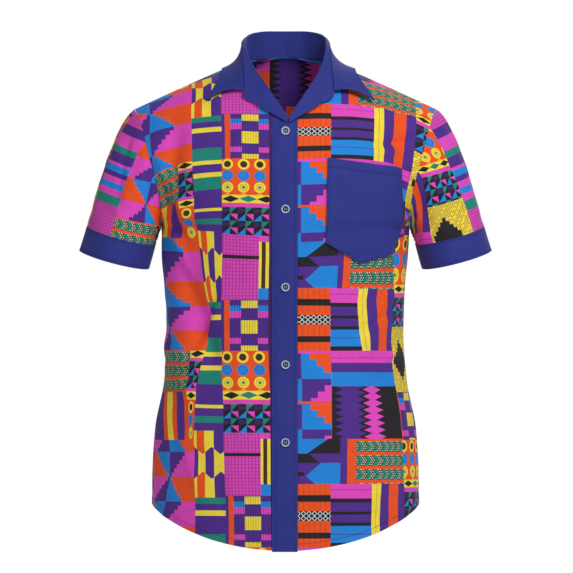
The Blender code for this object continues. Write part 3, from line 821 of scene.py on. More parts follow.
def step_block(x, y, start, period, steps, small, large):
    """Stepped wedges: they shrink and grow in turn on both sides of a centre line."""
    phase = (y - start).within(period) * (1 / period)
    shrinking = phase < 0.5
    share = abs(phase * 2.0 - 1.0).whole(1.0 / steps) * (1.0 + 1.0 / steps)
    inner = abs(x) < share * (large - small) + small
    cool = lay(inner, "orange", "sky")
    warm = lay(inner, "pink", "purple")
    right = x > 0
    return lay(shrinking, lay(right, warm, cool), lay(right, cool, warm))


def chevrons(x, y, pitch=20.7, bar=16.0, slope=0.75):
    """Three green bars on orange, with black arrowheads edged in small cream squares."""
    down = y.within(pitch) - (pitch - bar) / 2
    lean = (x + abs(down - bar / 2) * slope).within(13.5)
    edge = (lean < 7.0) * (lean.within(3.6) < 1.9) * (down.within(3.2) < 1.8)
    head = lay(lean < 7.2, "green", "black")
    dotted = lay(edge, head, "cream")
    return lay(down.between(0.0, bar), "orange", dotted)


def spikes(x, y, pitch=10.1):
    """Columns of long teeth on black: a wide purple one and a narrow pink one."""
    tooth = y.zigzag(pitch / 2) * (2 / pitch)
    wide = (abs(x - 31.5) + tooth * 15.0) < 27.0
    narrow = abs(x - 74.0) < (tooth * 15.0 + 5.0)
    return lay(narrow, lay(wide, "black", "purple"), "pink")


def hexagons(x, y):
    """Long hexagons: three columns that change places with three others half way down."""
    middle = abs(y - 48.0) < (x.zigzag(13.5) * -0.83 + 24.0)
    outer = bands(x, 0, ((4.5, "yellow"), (12, "orange"), (14, "yellow"), (15.5, "purple")))
    inner = bands(x, 0, ((6, "purple"), (11, "yellow"), (13.5, "purple"), (15.5, "yellow")))
    return lay(middle, outer, inner)


def arrows(x, y):
    """A slanting blue and black pair above a blue arrowhead on purple."""
    top = lay(x < y * -1.45 + 48.0, "black", "sky")
    middle = lay(x < (y - 22.0) * 1.2 + 19.0, "purple", "black")
    bar = lay(y.between(49.5, 55.5) * (x < 12.0), "purple", "black")
    low = lay(x > abs(y - 55.5) * 1.15 + 15.0, bar, "sky")
    block = stack(y, ((0, top), (22.0, middle), (36.0, low)))
    return lay(x > 67.5, block, "purple")


def checks(x, y):
    """Small cells on purple beside an orange strip, all with fine ribs."""
    low = (1.5, "purple")
    outer_rows = ((8.5, "purple"), (9, "sky"), (10, "pink"), (30, "purple"), (9, "pink"), low)
    middle_rows = ((1, "purple"), (11.5, "yellow"), (18.5, "purple"), (20, "yellow"))
    outer = bands(y, 0, outer_rows + ((7, "purple"),))
    middle = bands(y, 0, middle_rows + ((18, "purple"), (6, "yellow")))
    cells = lay((x > 30.0) * (x < 55.5), outer, middle)
    return lay(x < 12.5, ribs(x, cells, 3.9, 0.9, 0.50), bands(x, 0, ((4, "purple"), (8.5, "orange"))))


def chain(x, y):
    """White crossing dashes on black."""
    lattice = abs(x.zigzag(4.3) - y.zigzag(3.6)) < 0.75
    return lay(lattice, "black", "white")


print("inks:", len(INKS))

# %% [markdown]
# The chart itself puts the motifs in their strips. DROP is how far down the pattern repeats. The tables
# give each strip's stripes in millimetres, as they would be read off the cloth with a ruler.

# %% The chart
DROP = 294.0
STEP_LOW = 134.0
NARROW_STRIP = (-168.0, -142.0)


def steps_strip(u, w):
    """The strip at the wearer's right side: green bars, upright stripes and stepped wedges."""
    stripes = ((10, "purple"), (12, "orange"), (13, "yellow"), (9, "orange"), (14, "purple"), (6, "orange"))
    upright = bands(u, -232, stripes)
    wedges = step_block(u + 208.0, w, 152.0, 74.2, 6, 5.0, 38.0)
    bars = chevrons(u + 202.0, w)
    return stack(w, ((0, bars), (62.0, upright), (STEP_LOW, wedges)))


def narrow_strip(u, w):
    """Diamonds, triangles and rings, on a strip that ends where the wedges start."""
    x = u - NARROW_STRIP[0]
    bow = diamonds(x, w + 2.0, 14.0, 13.0)
    low_bow = diamonds(x, w - 61.0, 14.0, 13.0)
    small = triangles(x, w - 16.0)
    targets = rings(x, w - 76.0)
    pink = ink("pink")
    return stack(w, ((0, bow), (12.0, pink), (16.0, small), (57.0, pink), (61.0, low_bow), (75.0, targets)))


def banded_strip(u, w):
    """Level stripes in green, purple and yellow over a block of long hexagons."""
    upper = ((1.5, "green"), (6.5, "yellow"), (14, "purple"), (7.5, "yellow"), (20.5, "green"))
    middle = ((30.7, "purple"), (5.1, "yellow"), (12.2, "purple"), (10, "green"), (12, "purple"))
    lower = ((9, "green"), (10, "purple"), (8, "yellow"), (27.5, "purple"), (19.5, "green"))
    top = bands(w, 0, upper + middle)
    return stack(w, ((0, top), (120.0, hexagons(u + 142.0, w - 120.0)), (220.0, bands(w, 220.0, lower))))


def ring_strip(u, w):
    """Rings, diamonds, triangles, pink plaid and the checked block."""
    cloth = plaid(u, w)
    barred = lay(w.between(153.0, 158.0), cloth, "black")
    posts = bands(u, -39.0, ((4, "yellow"), (6, "brown"), (5, "yellow")))
    end = stack(w, ((0, ink("pink")), (132.0, posts), (200.0, ink("sky"))))
    pink = lay(u > -39.0, barred, end)
    pieces = (
        (0, rings(u + 99.5, w)),
        (59.0, diamonds(u + 96.0, w - 59.0)),
        (74.0, ink("pink")),
        (80.0, triangles(u + 96.0, w - 80.0)),
        (123.0, pink),
        (217.0, checks(u + 95.0, w - 217.0)),
    )
    return stack(w, pieces)


def rib_strip(u, w):
    """Beside the placket: wedges, and orange ribs with black bars and a chain."""
    ground = ribs(u - 17.0, ink("orange"), 8.5, 1.3, 0.30)
    barred = lay(w.between(216.0, 226.0), ground, "black")
    barred = lay(w.between(272.0, 281.0), barred, "black")
    chained = lay(w.between(240.0, 254.5), barred, chain(u - 17.0, w - 240.0))
    wedges = step_block(u - 23.5, w, 42.0, 76.0, 4, 13.0, 46.0)
    wedges = lay(w.between(75.5, 79.5), wedges, "orange")
    pointed = arrows(u - 15.0, w - 132.0)
    return stack(w, ((0, ink("pink")), (4.0, wedges), (STEP_LOW - 2, pointed), (199.5, chained)))


def bar_strip(u, w):
    """Broad level bars, zigzags, green bars, then level and upright stripes."""
    broad = bands(w, 0, ((10, "pink"), (1, "magenta"), (7, "pink"), (14, "purple"), (21, "sky")))
    bars = lay(u > 94.0, arrows(u - 15.0, w - 132.0), chevrons(u - 108.0, w - 133.5))
    bars = lay(u.between(94.0, 108.0), bars, "orange")
    level = ((8, "pink"), (1, "magenta"), (12.5, "pink"), (6, "black"), (13.5, "purple"), (4.5, "black"))
    level += ((12, "purple"), (5, "black"), (12, "sky"), (1, "purple"), (12, "sky"), (7, "black"))
    posts = ((7, "yellow"), (0.8, "ochre"), (7.2, "yellow"), (17, "purple"), (19, "orange"), (15, "purple"))
    striped = lay(u > 134.0, bands(w, 199.5, level), bands(u, 134.0, posts))
    return stack(w, ((0, broad), (53.0, spikes(u - 68.0, w - 53.0)), (132.0, bars), (199.5, striped)))


def side_strip(u, w):
    """The strip at the wearer's left side: rings, diamonds, triangles, yellow with black steps, checks."""
    speckle = lay((u.whole(2.2) + w.whole(2.2)).within(4.4) < 1.0, "yellow", "ochre")
    notched, lower = (
        lay(abs(u - 226.0) < (abs(w - middle).whole(6.0) * -0.8 + 22.0), speckle, "black")
        for middle in (14.0, 14.0 + DROP)
    )
    pieces = (
        (0, notched),
        (62.0, checks(u - 189.0, w - 62.0)),
        (STEP_LOW, rings(u - 190.0, w - STEP_LOW)),
        (193.0, diamonds(u - 200.0, w - 193.0, 13.0, 12.0)),
        (206.0, ink("pink")),
        (212.0, triangles(u - 200.0, w - 212.0)),
        (258.0, lower),
    )
    return stack(w, pieces)


def sleeve_strip(u, w):
    """Level stripes in blue, pink and green over pink plaid, which only the sleeves show."""
    rows = ((16, "purple"), (21, "pink"), (11, "green"), (16, "purple"), (5, "pink"), (10, "sky"))
    rows += ((8, "purple"), (10, "pink"), (10, "sky"), (10, "pink"), (16, "green"))
    plain = plaid(u, w)
    return stack(w, ((0, plain), (146.0, bands(w, 146.0, rows)), (279.0, plain)))


def middle_strip(u, w):
    """The strip that the placket hides and the back shows: stripes, diamonds, plaid and triangles, with a
    plum band on its left 8 mm that is painted shade beside the placket's edge on the front and a plain plum
    stripe on the back.
    """
    rows = ((18, "orange"), (5, "black")) * 2 + ((18, "orange"), (12, "sky"), (16, "pink"))
    low_rows = ((14, "green"), (5, "yellow"), (20, "purple"), (5, "yellow"), (14, "green"), (12, "sky"))
    pieces = (
        (0, bands(w, 0, rows)),
        (92.0, diamonds(u + 24.0, w - 92.0, 14.0, 13.0)),
        (106.0, plaid(u, w)),
        (170.0, triangles(u + 24.0, w - 170.0)),
        (218.0, bands(w, 218.0, low_rows)),
    )
    # Painted shade: the left 8 mm of this strip are plum, a dark band showing beside the placket's edge on
    # the right front; on the back it falls as a plum stripe.
    return lay(u < -16.0, stack(w, pieces), "plum")


# Each strip's left edge on the cut, in millimetres from the centre front
STRIPS = (
    (-260.0, steps_strip),
    (-142.0, banded_strip),
    (-96.0, ring_strip),
    (-24.0, middle_strip),
    (17.0, rib_strip),
    (68.0, bar_strip),
    (200.0, side_strip),
    (270.0, sleeve_strip),
)
REPEAT = 595.0


def chart(tree, cut):
    """The whole print as one colour of the cut."""
    across = Number(tree, add(tree, "SeparateXYZ", cut, out=0))
    down = Number(tree, add(tree, "SeparateXYZ", cut, out=1))
    u = (across - STRIPS[0][0]).within(REPEAT) + STRIPS[0][0]
    w = down.within(DROP)
    colour = None
    for start, strip in STRIPS:
        painted = strip(u, w)
        colour = painted if colour is None else lay(u > start, colour, painted)
    narrow = u.between(*NARROW_STRIP) * (w < STEP_LOW)
    return lay(narrow, colour, narrow_strip(u, w))


# Plain-weave cotton, printed: bright inks, matte like the poplin, with the same fine thread grain
printed, tree, shader, cut = cotton("printed_cotton_plain_weave")
weave(tree, shader, cut, chart(tree, cut))
print("print nodes:", len(tree.nodes))

# %% [markdown]
# ## Laying the print on the cut
#
# On the chest the folds and the bias of the shoulder draw the cloth in a little, and below the right
# armhole a long fold takes up some of the stripes. So the print isn't laid straight: each chart
# line has its own place on the cloth at a few girths, and what lies between is stretched to fit.

# %% Cut of the fronts and the back
CHART_LINES = (-208.0, -168.0, -142.0, -96.0, 68.0, 134.0, 200.0)
# Girth, then where each chart line lies across the front there
LINES_LIE = (
    (0, -208, -168, -142, -96, 68, 134, 200),
    (230, -208, -168, -142, -96, 68, 134, 200),
    (310, -212, -166, -142, -97, 68, 132, 198),
    (366, -224, -160, -135, -97, 68, 122, 191),
    (430, -216, -152, -124, -99, 68, 112, 180),
    (450, -208, -150, -121, -99, 68, 112, 181),
    (492, -190, -150, -124, -99, 68, 116, 183),
    (535, -194, -148, -133, -98, 69, 125, 186),
    (568, -206, -153, -138, -96, 70, 132, 189),
    (640, -193, -152, -142, -94, 69, 134, 196),
    (700, -192, -162, -142, -93, 68, 134, 200),
    (760, -212, -168, -142, -91, 68, 134, 200),
    (900, -214, -170, -142, -90, 68, 134, 200),
)
# The chest is printed a little longer and narrower than it lies: how much, and up to which girth
CHEST_GRAIN = (1.09, 300.0)
CHEST_NARROW = (0.055, 260.0, 170.0)
FRONT_DROP = 213.0
BACK_SHIFT = (93.0, -25.0)


def front_cut(turn, girth):
    """Place on the chart of points of the front."""
    flat = front.flat(turn, girth)
    share, low, run = CHEST_NARROW
    across = flat[..., 0] * (1 - share * ease((low - girth) / run))
    stretch, end = CHEST_GRAIN
    down = np.where(flat[..., 1] < end, end - stretch * (end - flat[..., 1]), flat[..., 1])
    table = np.array(LINES_LIE, float)
    lines = [np.interp(girth, table[:, 0], column) for column in table[:, 1:].T]
    laid = across - lines[0] + CHART_LINES[0]
    laid = np.where(across > lines[-1], across - lines[-1] + CHART_LINES[-1], laid)
    for k in range(len(lines) - 1):
        share = (across - lines[k]) / (lines[k + 1] - lines[k])
        inside = (share >= 0) & (share <= 1)
        laid = np.where(inside, CHART_LINES[k] + share * (CHART_LINES[k + 1] - CHART_LINES[k]), laid)
    return np.stack([laid, down - FRONT_DROP], -1)


def back_cut(turn, girth):
    return back.flat(turn, girth) + BACK_SHIFT


# %% [markdown]
# ## Fronts and back
#
# A front is one wall from its neckline and shoulder to its curved hem. Its rows follow the levels of
# the form, with one row exactly at the armpit, and its columns fan out from the neckline to the side.
# The hem is turned up twice and stitched, so the last 12 mm are thicker and end above in a groove.

# %% Panels
FINER = 6
HEM_TURN_UP = 12.0
HEM_STITCH = 10.0
HEM_EXTRA = 0.55
HEM_ROWS = 15
STITCH_SINK = 0.45
STITCH_SPREAD = 1.3
FRONT_STEPS = 15
BACK_STEPS = 24
BACK_NECK_STEPS = 5
ROWS_ABOVE = 80
ROWS_BELOW = 105
HEM_SHARE = 0.025
# Columns fan out above this share of a panel's length, and are spaced as the fronts are at this height
FAN_SHARE = 0.55
FAN_HEIGHT = -640.0
NECK_CURVE = 0.55
LOOKUPS = 400
COLLAR_SKEW = 4.5
COLLAR_COLUMNS = ("roll", "seam", "edge", "hollow", "skew", "edge_skew")
COLLAR = (
    ((0, 80, 52), (0, 84.5, 50), (0, 102, 4), 0, 0, 0),
    ((25, 77, 52), (25, 81.5, 50), (31, 100, 3), 0, 0, 0),
    ((44, 62, 50), (47, 65.5, 48), (60, 87, 0.5), 1, 0, 0.5),
    ((57, 38, 45), (61, 39.5, 43), (83, 55, -3), 4, 0, 1.5),
    ((61, 12, 38), (65, 12.5, 36), (95, 22, -2.6), 7, 0, 3.0),
    ((61, -12, 29), (65.5, -12, 27), (99.5, -8, -3.2), 6.5, 0.5, 4.0),
    ((57.5, -36, 14.5), (65.5, -34, 14), (101, -31, -10.5), 5, 1.5, 5.5),
    ((50, -60, -4), (65.5, -57, -4), (109, -47, -24), 3, 3.0, 6.2),
    ((40, -78, -20), (66, -72, -20), (117.5, -58, -37.5), 1, 4.5, 6.8),
    ((31, -88, -33), (67, -80, -36), (126.5, -67, -51), 0, 4.5, 7.1),
)
FRONT_NECK = ((62.5, 4), (58, -3), (51, -16), (43, -27), (34, -34))
FACING_ROLL = ((30.0, -33.0), (15.0, -55.0), (0.8, -76.0))
ROLL_CLEAR = 3.0


def hem_girth(body, turn):
    """Girth at which each turn meets the curved hem."""
    height = HEM_SIDE_HEIGHT - HEM_DROP * np.cos(np.asarray(turn) * np.pi / 2) ** HEM_CURVE
    levels = np.linspace(0, body.girths[-1], LOOKUPS)
    return np.interp(-height, -body.level("centre_z", levels), levels)


def crest_turn(body, reach):
    """Turn on the crest at a distance from the centre."""
    turns = np.linspace(0, 1, LOOKUPS)
    return np.interp(reach, body.plain(turns, 0.0)[:, 0], turns)


def finer_line(values, times):
    """The same line with points added between its points, which all stay."""
    at = np.linspace(0, len(values) - 1, (len(values) - 1) * times + 1)
    return np.interp(at, np.arange(len(values)), values)


def front_top(sign, inner_edge):
    """turn and girth along the top of a front: its fold, its neckline and its shoulder seam."""
    start = abs(inner_edge - COLLAR_SKEW)
    roll = np.array(FACING_ROLL[::-1])
    reach = [start] + [x for x, z in roll if x > start + ROLL_CLEAR]
    line = [(sign * x + COLLAR_SKEW, np.interp(x, roll[:, 0], roll[:, 1])) for x in reach]
    skews = [row[4] for row in COLLAR[-len(FRONT_NECK) :]]
    line += [(sign * x + skew, z) for (x, z), skew in list(zip(FRONT_NECK, skews))[-2:0:-1]]
    x, z = np.array(line, float).T
    turn, girth = front.find(x, z)
    rest = FRONT_STEPS + 1 - len(turn)
    shoulder = np.linspace(crest_turn(front, NECK_HALF_WIDTH + 1), 1, rest)
    return np.append(turn, sign * shoulder), np.append(girth, np.zeros(rest))


def seam_sink(distance):
    """How deep a stitch line pulls the cloth at a distance from it."""
    return STITCH_SINK * np.exp(-((distance / STITCH_SPREAD) ** 2))


def panel(name, body, turn_top, girth_top, turn_low, cut_of, inner_edge=None):
    """A front or the back, as a wall between its top line and its hem."""
    turn_top, girth_top, turn_low = (finer_line(line, FINER) for line in (turn_top, girth_top, turn_low))
    to_armpit = body.armpit() / hem_girth(body, 1.0)
    above = np.linspace(0, to_armpit, ROWS_ABOVE + 1)
    below = np.linspace(to_armpit, 1 - HEM_SHARE, ROWS_BELOW + 1)[1:]
    hem = np.linspace(1 - HEM_SHARE, 1, HEM_ROWS)[1:]
    share = np.concatenate([above, below, hem])[:, None]
    turn = turn_low + (turn_top - turn_low) * (1 - ease(share / FAN_SHARE))
    girth = girth_top + (hem_girth(body, turn_low) - girth_top) * share
    girth = np.maximum(girth, SEAM_GAP / 2)
    if inner_edge is not None:
        heights = body.plain(turn[:, 0], girth[:, 0])[:, 2]
        turn[:, 0], girth[:, 0] = body.find(inner_edge, heights)
    turn = np.clip(turn, -1 + SIDE_TRIM, 1 - SIDE_TRIM)
    up = girth[-1] - girth
    lift = HEM_EXTRA * (1 - ease((up - HEM_TURN_UP + 1.0) / 2.0)) - seam_sink(up - HEM_STITCH)
    outer = body.points(turn, girth, lift)
    inner = body.points(turn, girth, -WALL)
    cut = cut_of(turn, girth)
    made = wall(name, outer, inner, cut, printed)
    node = name.replace("_cloth", "")
    dress(made, node, cut)
    return outer


def front_panel(side, sign, inner_edge):
    turn_top, girth_top = front_top(sign, inner_edge)
    turn_low = np.linspace(front.find(inner_edge, FAN_HEIGHT)[0], sign, FRONT_STEPS + 1)
    return panel(f"front_{side}_cloth", front, turn_top, girth_top, turn_low, front_cut, inner_edge)


def back_neck(share):
    """turn and girth on the back neckline, from 0 at the centre back to 1 at the shoulder."""
    turn = crest_turn(back, NECK_HALF_WIDTH + 1) * share
    return turn, BACK_NECK_GIRTH * np.maximum(1 - share**2, 0) ** NECK_CURVE


face_right = front_panel("right", -1, PLACKET_LEFT_EDGE - SEAM_GAP)
face_left = front_panel("left", 1, PLACKET_RIGHT_EDGE + SEAM_GAP)

neck_turn, neck_girth = back_neck(np.sin(np.radians(np.linspace(0, 90, BACK_NECK_STEPS + 1))))
shoulder = np.linspace(neck_turn[-1], 1, BACK_STEPS // 2 - BACK_NECK_STEPS + 1)[1:]
turn_half = np.concatenate([neck_turn, shoulder])
girth_half = np.concatenate([neck_girth, np.zeros(len(shoulder))])
face_back = panel(
    "back_cloth",
    back,
    np.concatenate([-turn_half[:0:-1], turn_half]),
    np.concatenate([girth_half[:0:-1], girth_half]),
    np.linspace(-1, 1, BACK_STEPS + 1),
    back_cut,
)

# %% [markdown]
# ## Placket, button band and pocket
#
# The placket is a folded strip of the plain cloth, stitched down near both edges. The button band lies
# under it. The pocket is pointed below and has a wide hem on top. All three lie on the left front, so
# they are made from its own surface, lifted off by a little more than its thickness.

# %% Strips
STRIP_ROWS = 300
STRIP_COLUMNS = 24
PLACKET_STITCH = 5.0
STRIP_PAST_HEM = 1.5


def strip(name, top_line, lift, thick, stitched):
    """A strip down the front between the placket's edges, lifted off the front, under a top line."""
    top_x, top_z = np.array(top_line, float).T
    share = np.linspace(0, 1, STRIP_COLUMNS + 1)
    known = np.linspace(0, 1, len(top_x))
    top_x, top_z = np.interp(share, known, top_x), np.interp(share, known, top_z)
    low_x = PLACKET_LEFT_EDGE + (PLACKET_RIGHT_EDGE - PLACKET_LEFT_EDGE) * share
    low = front.plain(crest_turn(front, 0.0), hem_girth(front, 0.0) + STRIP_PAST_HEM)[..., 2]
    z = top_z + (low - top_z) * np.linspace(0, 1, STRIP_ROWS + 1)[:, None]
    bend = 1 - ease((top_z.max() - z) / STRIP_TOP_CURVE)
    x = low_x + (top_x - low_x) * bend
    turn, girth = front.find(x, z)
    across = share * (PLACKET_RIGHT_EDGE - PLACKET_LEFT_EDGE)
    sink = seam_sink(across - PLACKET_STITCH) + seam_sink(across[-1] - PLACKET_STITCH - across)
    outer = front.points(turn, girth, lift + thick - sink * stitched)
    inner = front.points(turn, girth, float(lift))
    cut = np.stack(np.broadcast_arrays(across, girth), -1)
    made = wall(name + "_cloth", outer, inner, cut, poplin)
    dress(made, name, cut)
    return outer


strip("button_band", BAND_TOP, -WALL, WALL, 0.0)
placket_face = strip("placket", PLACKET_TOP, LAYER_GAP, WALL, 1.0)

# %% [markdown]
# The pocket is cut with five corners. Its top is turned down twice and stitched, and its other edges
# are stitched to the front close to their fold. It could be a flat patch shrinkwrapped to the front.
# Here its grid is looked up on the front's own surface, so it follows every fold below it.

# %% Pocket
POCKET_TOP = ((63.0, -138.0), (175.5, -153.5))
POCKET_BOTTOM = ((60.0, -264.5), (111.0, -296.0), (165.5, -279.0))
POCKET_STEPS = 90
POCKET_HEM = 13.0
POCKET_STITCH = 2.4
POCKET_HEM_EXTRA = 0.4
# Its creases grow from 0 over these distances from its edges and from its hem
POCKET_CALM = (10.0, 12.0)
# Soft creases that hang from the pocket's hem
POCKET_CREASES = (
    (78, -152, 116, -212, 9, 2.7),
    (104, -154, 142, -232, 11, -2.3),
    (92, -200, 98, -282, 12, 1.8),
    (150, -200, 138, -282, 10, 1.8),
)

across = np.linspace(0, 1, POCKET_STEPS + 1)
top = np.array(POCKET_TOP[0]) + (np.array(POCKET_TOP[1]) - POCKET_TOP[0]) * across[:, None]
low = np.array(POCKET_BOTTOM)
middle = (low[1, 0] - low[0, 0]) / (low[2, 0] - low[0, 0])
bottom = np.stack([np.interp(across, (0, middle, 1), low[:, k]) for k in (0, 1)], -1)
down = np.linspace(0, 1, POCKET_STEPS + 1)[:, None]
flat = top + (bottom - top) * down[..., None]
turn, girth = front.find(flat[..., 0], flat[..., 1])
pocket_cut = grid_cut(front.points(turn, girth, POCKET_LIFT + WALL))
long = np.linalg.norm(bottom - top, axis=-1)
from_top, from_low = down * long, (1 - down) * long
wide = POCKET_TOP[1][0] - POCKET_TOP[0][0]
beside = np.minimum(across, 1 - across) * wide
stitched = paired(from_top - POCKET_HEM, beside - POCKET_STITCH, from_low - POCKET_STITCH)
sink = seam_sink(np.array(stitched)).max(axis=0)
inside = ease(np.minimum(beside, from_low) / POCKET_CALM[0])
inside = inside * ease((from_top - POCKET_HEM) / POCKET_CALM[1])
lift = POCKET_HEM_EXTRA * (1 - ease((from_top - POCKET_HEM) / 1.5))
lift = lift + fold_heights(flat, POCKET_CREASES) * inside - sink
pocket_face = front.points(turn, girth, POCKET_LIFT + WALL + lift)
pocket = wall("pocket_cloth", pocket_face, front.points(turn, girth, POCKET_LIFT), pocket_cut, poplin)
dress(pocket, "pocket", pocket_cut)

# %% [markdown]
# ## Collar and facings
#
# The collar is open. A stand goes up from the neckline, folds over, and the leaf is sewn to it and falls
# outward to its points. Below the stand the top of each front turns out and shows its plain facing.
# Each part is drawn through stations round the neck, the same on both sides.

# %% Collar
STAND_END = ((68.5, -84, -43), (62, -88.5, -50), (49.5, -93.5, -56))
LEAF_FRONT_EDGE_SAG = 7.0
ROLL_RADIUS = 2.6
STAND_SHARES = (0, 0.17, 0.34, 0.5, 0.66, 0.8)
# The stand's way round its roll: how much up, how much out, and how far, in radii
ROLL_PATH = ((-1, 0, 1.0), (0.4, -1, 0.28), (1, -1, 0.3), (1.3, -0.2, 0.45), (0, 1, 1.0))
FACING_EDGE = ((48.5, -57.0), (26.0, -70.5), (0.8, -85.0))
FACING_START = -0.9
FACING_LIFT = ((9.5, 5.5), (4.5, 3.5))
COLLAR_STEPS = 84
LEAF_COLUMNS = 36
LEAF_STITCH = 6.0
# How far the stand's foot is clear: at the centre back, how much more at the shoulder, and in front
FOOT_CLEAR = (0.5, 1.9, 2.2)
HOLLOW_WAY = (0.8, 0.0, 0.6)
STAND_END_STEP = (-0.25, -0.15, -0.3)
STAND_END_COUNT = 13
SAG_STATIONS = 4.0
FACING_GRID = (61, 25)
FACING_BELLY = 0.12


def stand_foot(k):
    """Where the stand is sewn on at one station, standing just clear of the neckline."""
    first_front = len(COLLAR) - len(FRONT_NECK)
    if k < first_front:
        share = min(COLLAR[k][0][0] / NECK_HALF_WIDTH, 1.0)
        clear = FOOT_CLEAR[0] + FOOT_CLEAR[1] * share**2
        return back.points(*back_neck(np.array(share)), fine=0.0) + (0, 0, clear)
    x, z = FRONT_NECK[k - first_front]
    return front.points(*front.find(x, z), FOOT_CLEAR[2], fine=0.0)


def collar_side(sign):
    """foot, roll, seam, edge and middle points of each station, from the centre back."""
    stations = []
    for k, row in enumerate(COLLAR):
        station = dict(zip(COLLAR_COLUMNS, row))
        points = np.array([stand_foot(k), station["roll"], station["seam"], station["edge"]], float)
        hollow = (points[2] + points[3]) / 2 - np.array(HOLLOW_WAY) * station["hollow"]
        points = np.concatenate([points, hollow[None]])
        skew, edge_skew = station["skew"], station["edge_skew"]
        points[:, 0] = points[:, 0] * sign + (skew, skew, skew, edge_skew, (skew + edge_skew) / 2)
        stations.append(points)
    return np.array(stations)


def finer(points, count):
    """The same stations with smooth in-between ones, along the first axis."""
    known = np.arange(len(points), dtype=float)
    at = np.linspace(0, len(points) - 1, count)
    rows = points.reshape(len(points), -1)
    found = np.stack([smooth(at, known, column) for column in rows.T], -1)
    return found.reshape((count,) + points.shape[1:])


def both_sides(halves):
    return np.concatenate([halves[0][::-1], halves[1][1:]])


def stand_half(sign):
    stations = finer(collar_side(sign), COLLAR_STEPS + 1)[:, :3]
    steps = [stations[-1]]
    for k, (x, y, z) in enumerate(STAND_END):
        step = stations[-1].copy()
        step[:2] += np.array(STAND_END_STEP) * (sign, 1, 1) * (k + 1)
        step[2] = (x * sign + COLLAR_SKEW, y, z)
        steps.append(step)
    return np.concatenate([stations, finer(np.array(steps), STAND_END_COUNT)[1:]])


stations = both_sides([stand_half(sign) for sign in (-1, 1)])
foot, roll, seam = stations[:, 0], stations[:, 1], stations[:, 2]
up = unit(roll - foot)
out = unit(seam - roll)
columns = [foot + (roll - foot) * share for share in STAND_SHARES]
for rise, reach, far in ROLL_PATH:
    columns.append(roll + unit(up * rise + out * reach) * ROLL_RADIUS * far)
columns += [roll + (seam - roll) * 0.6 + out, seam]
stand = np.stack(columns, 1)
made = wall("collar_stand_cloth", *both_faces(stand, BAND_WALL), grid_cut(stand), poplin)
dress(made, "collar_stand", grid_cut(stand))

stations = both_sides([finer(collar_side(sign), COLLAR_STEPS + 1) for sign in (-1, 1)])
seam, edge, middle = stations[:, 2], stations[:, 3], stations[:, 4]
start = seam + unit(edge - seam) * (SEAM_GAP + BAND_WALL / 2)
share = np.linspace(0, 1, LEAF_COLUMNS + 1)[None, :, None]
handle = 2 * middle - (start + edge) / 2
leaf = start[:, None] * (1 - share) ** 2 + edge[:, None] * share**2
leaf = leaf + handle[:, None] * 2 * share * (1 - share)
bulge = np.sin(np.pi * share[0, :, 0])
ends = np.arange(len(leaf))
near_end = np.minimum(ends, ends[::-1])
sag = LEAF_FRONT_EDGE_SAG * np.exp(-((near_end / SAG_STATIONS) ** 2))
leaf[..., 2] += sag[:, None] * bulge
leaf_cut = grid_cut(leaf)
reach = np.linalg.norm(edge - start, axis=-1)[:, None] * (1 - share[..., 0])
along = lengths_along(leaf[:, -1], 0)[:, None]
ahead = np.minimum(along, along[-1] - along)
sink = np.maximum(seam_sink(reach - LEAF_STITCH), seam_sink(ahead - LEAF_STITCH) * (reach > LEAF_STITCH))
outer, inner = both_faces(leaf, BAND_WALL)
facing_out = unit(outer - inner)
outer = outer - facing_out * sink[..., None]
made = wall("collar_leaf_cloth", outer, inner, leaf_cut, poplin)
dress(made, "collar_leaf", leaf_cut)
leaf_face = outer


def facing(side, sign, lift):
    """The turned-out top of a front, between its roll and its free edge."""
    share = np.linspace(0, 1, FACING_GRID[0])
    known = np.linspace(0, 1, len(FACING_ROLL))
    roll, edge = (
        np.stack([smooth(share, known, np.array(line)[:, k]) for k in (0, 1)], -1)
        for line in (FACING_ROLL, FACING_EDGE)
    )
    way = unit(np.array(FACING_ROLL[1]) - FACING_ROLL[0])
    columns = np.linspace(0, 1, FACING_GRID[1])[None, :, None]
    flat = roll[:, None] + (edge - roll)[:, None] * columns
    flat = flat + way * FACING_START * (1 - share[:, None, None])
    above, below = np.array(FACING_LIFT)
    fall = above + (below - above) * share[:, None]
    fall = fall[:, :1] + (fall[:, 1:] - fall[:, :1]) * columns[..., 0]
    belly = np.sin(np.pi * columns[..., 0]) * fall * FACING_BELLY
    turn, girth = front.find(flat[..., 0] * sign + COLLAR_SKEW, flat[..., 1])
    middle = front.points(turn, girth, fine=0.0)
    middle[..., 1] -= lift + fall + belly
    made = wall(f"facing_{side}_cloth", *both_faces(middle, WALL), grid_cut(middle), poplin)
    dress(made, f"facing_{side}", grid_cut(middle))


facing("right", -1, 0.0)
facing("left", 1, WALL + LAYER_GAP)

# %% [markdown]
# ## Sleeves
#
# A short sleeve is a tube with one seam under the arm, set into the armhole and hemmed by a band. It
# leaves the shoulder along the arm and then hangs. Each line from the armhole to the band is a smooth
# curve, and rings at equal lengths along these lines make the tube. Creases fan out from the armpit.

# %% Sleeves and bands
CUFF_DEPTH = 38.0
CUFF_CENTRE = (257.0, 0.0, -289.0)
CUFF_HALF_WIDTH = 54.0
CUFF_HALF_DEPTH = 70.0
CUFF_TILT = 14.6
CUFF_FRONT_DROOP = 7.0
SLEEVE_TAKE_OFF = 0.55
SLEEVE_TOP_WAY = (0.93, 0.0, -0.37)
BAND_STAND_OUT = 0.3
ARMHOLE_STEPS = 60
SLEEVE_ROWS = 84
BAND_ROWS = 22
BAND_STITCH = 3.0
PATH_STEPS = 61
SLEEVE_CALM = (0.10, 0.08)
# How strongly the top of a sleeve leaves along its own way, and how much every line does
TOP_WEIGHT = 0.75
TOP_SHARE = 0.35
# Near the armhole the tube's normals are those of the body, where the two roughly agree
NORMALS_AGREE = 0.9
BODY_NORMALS_SHARE = 0.2
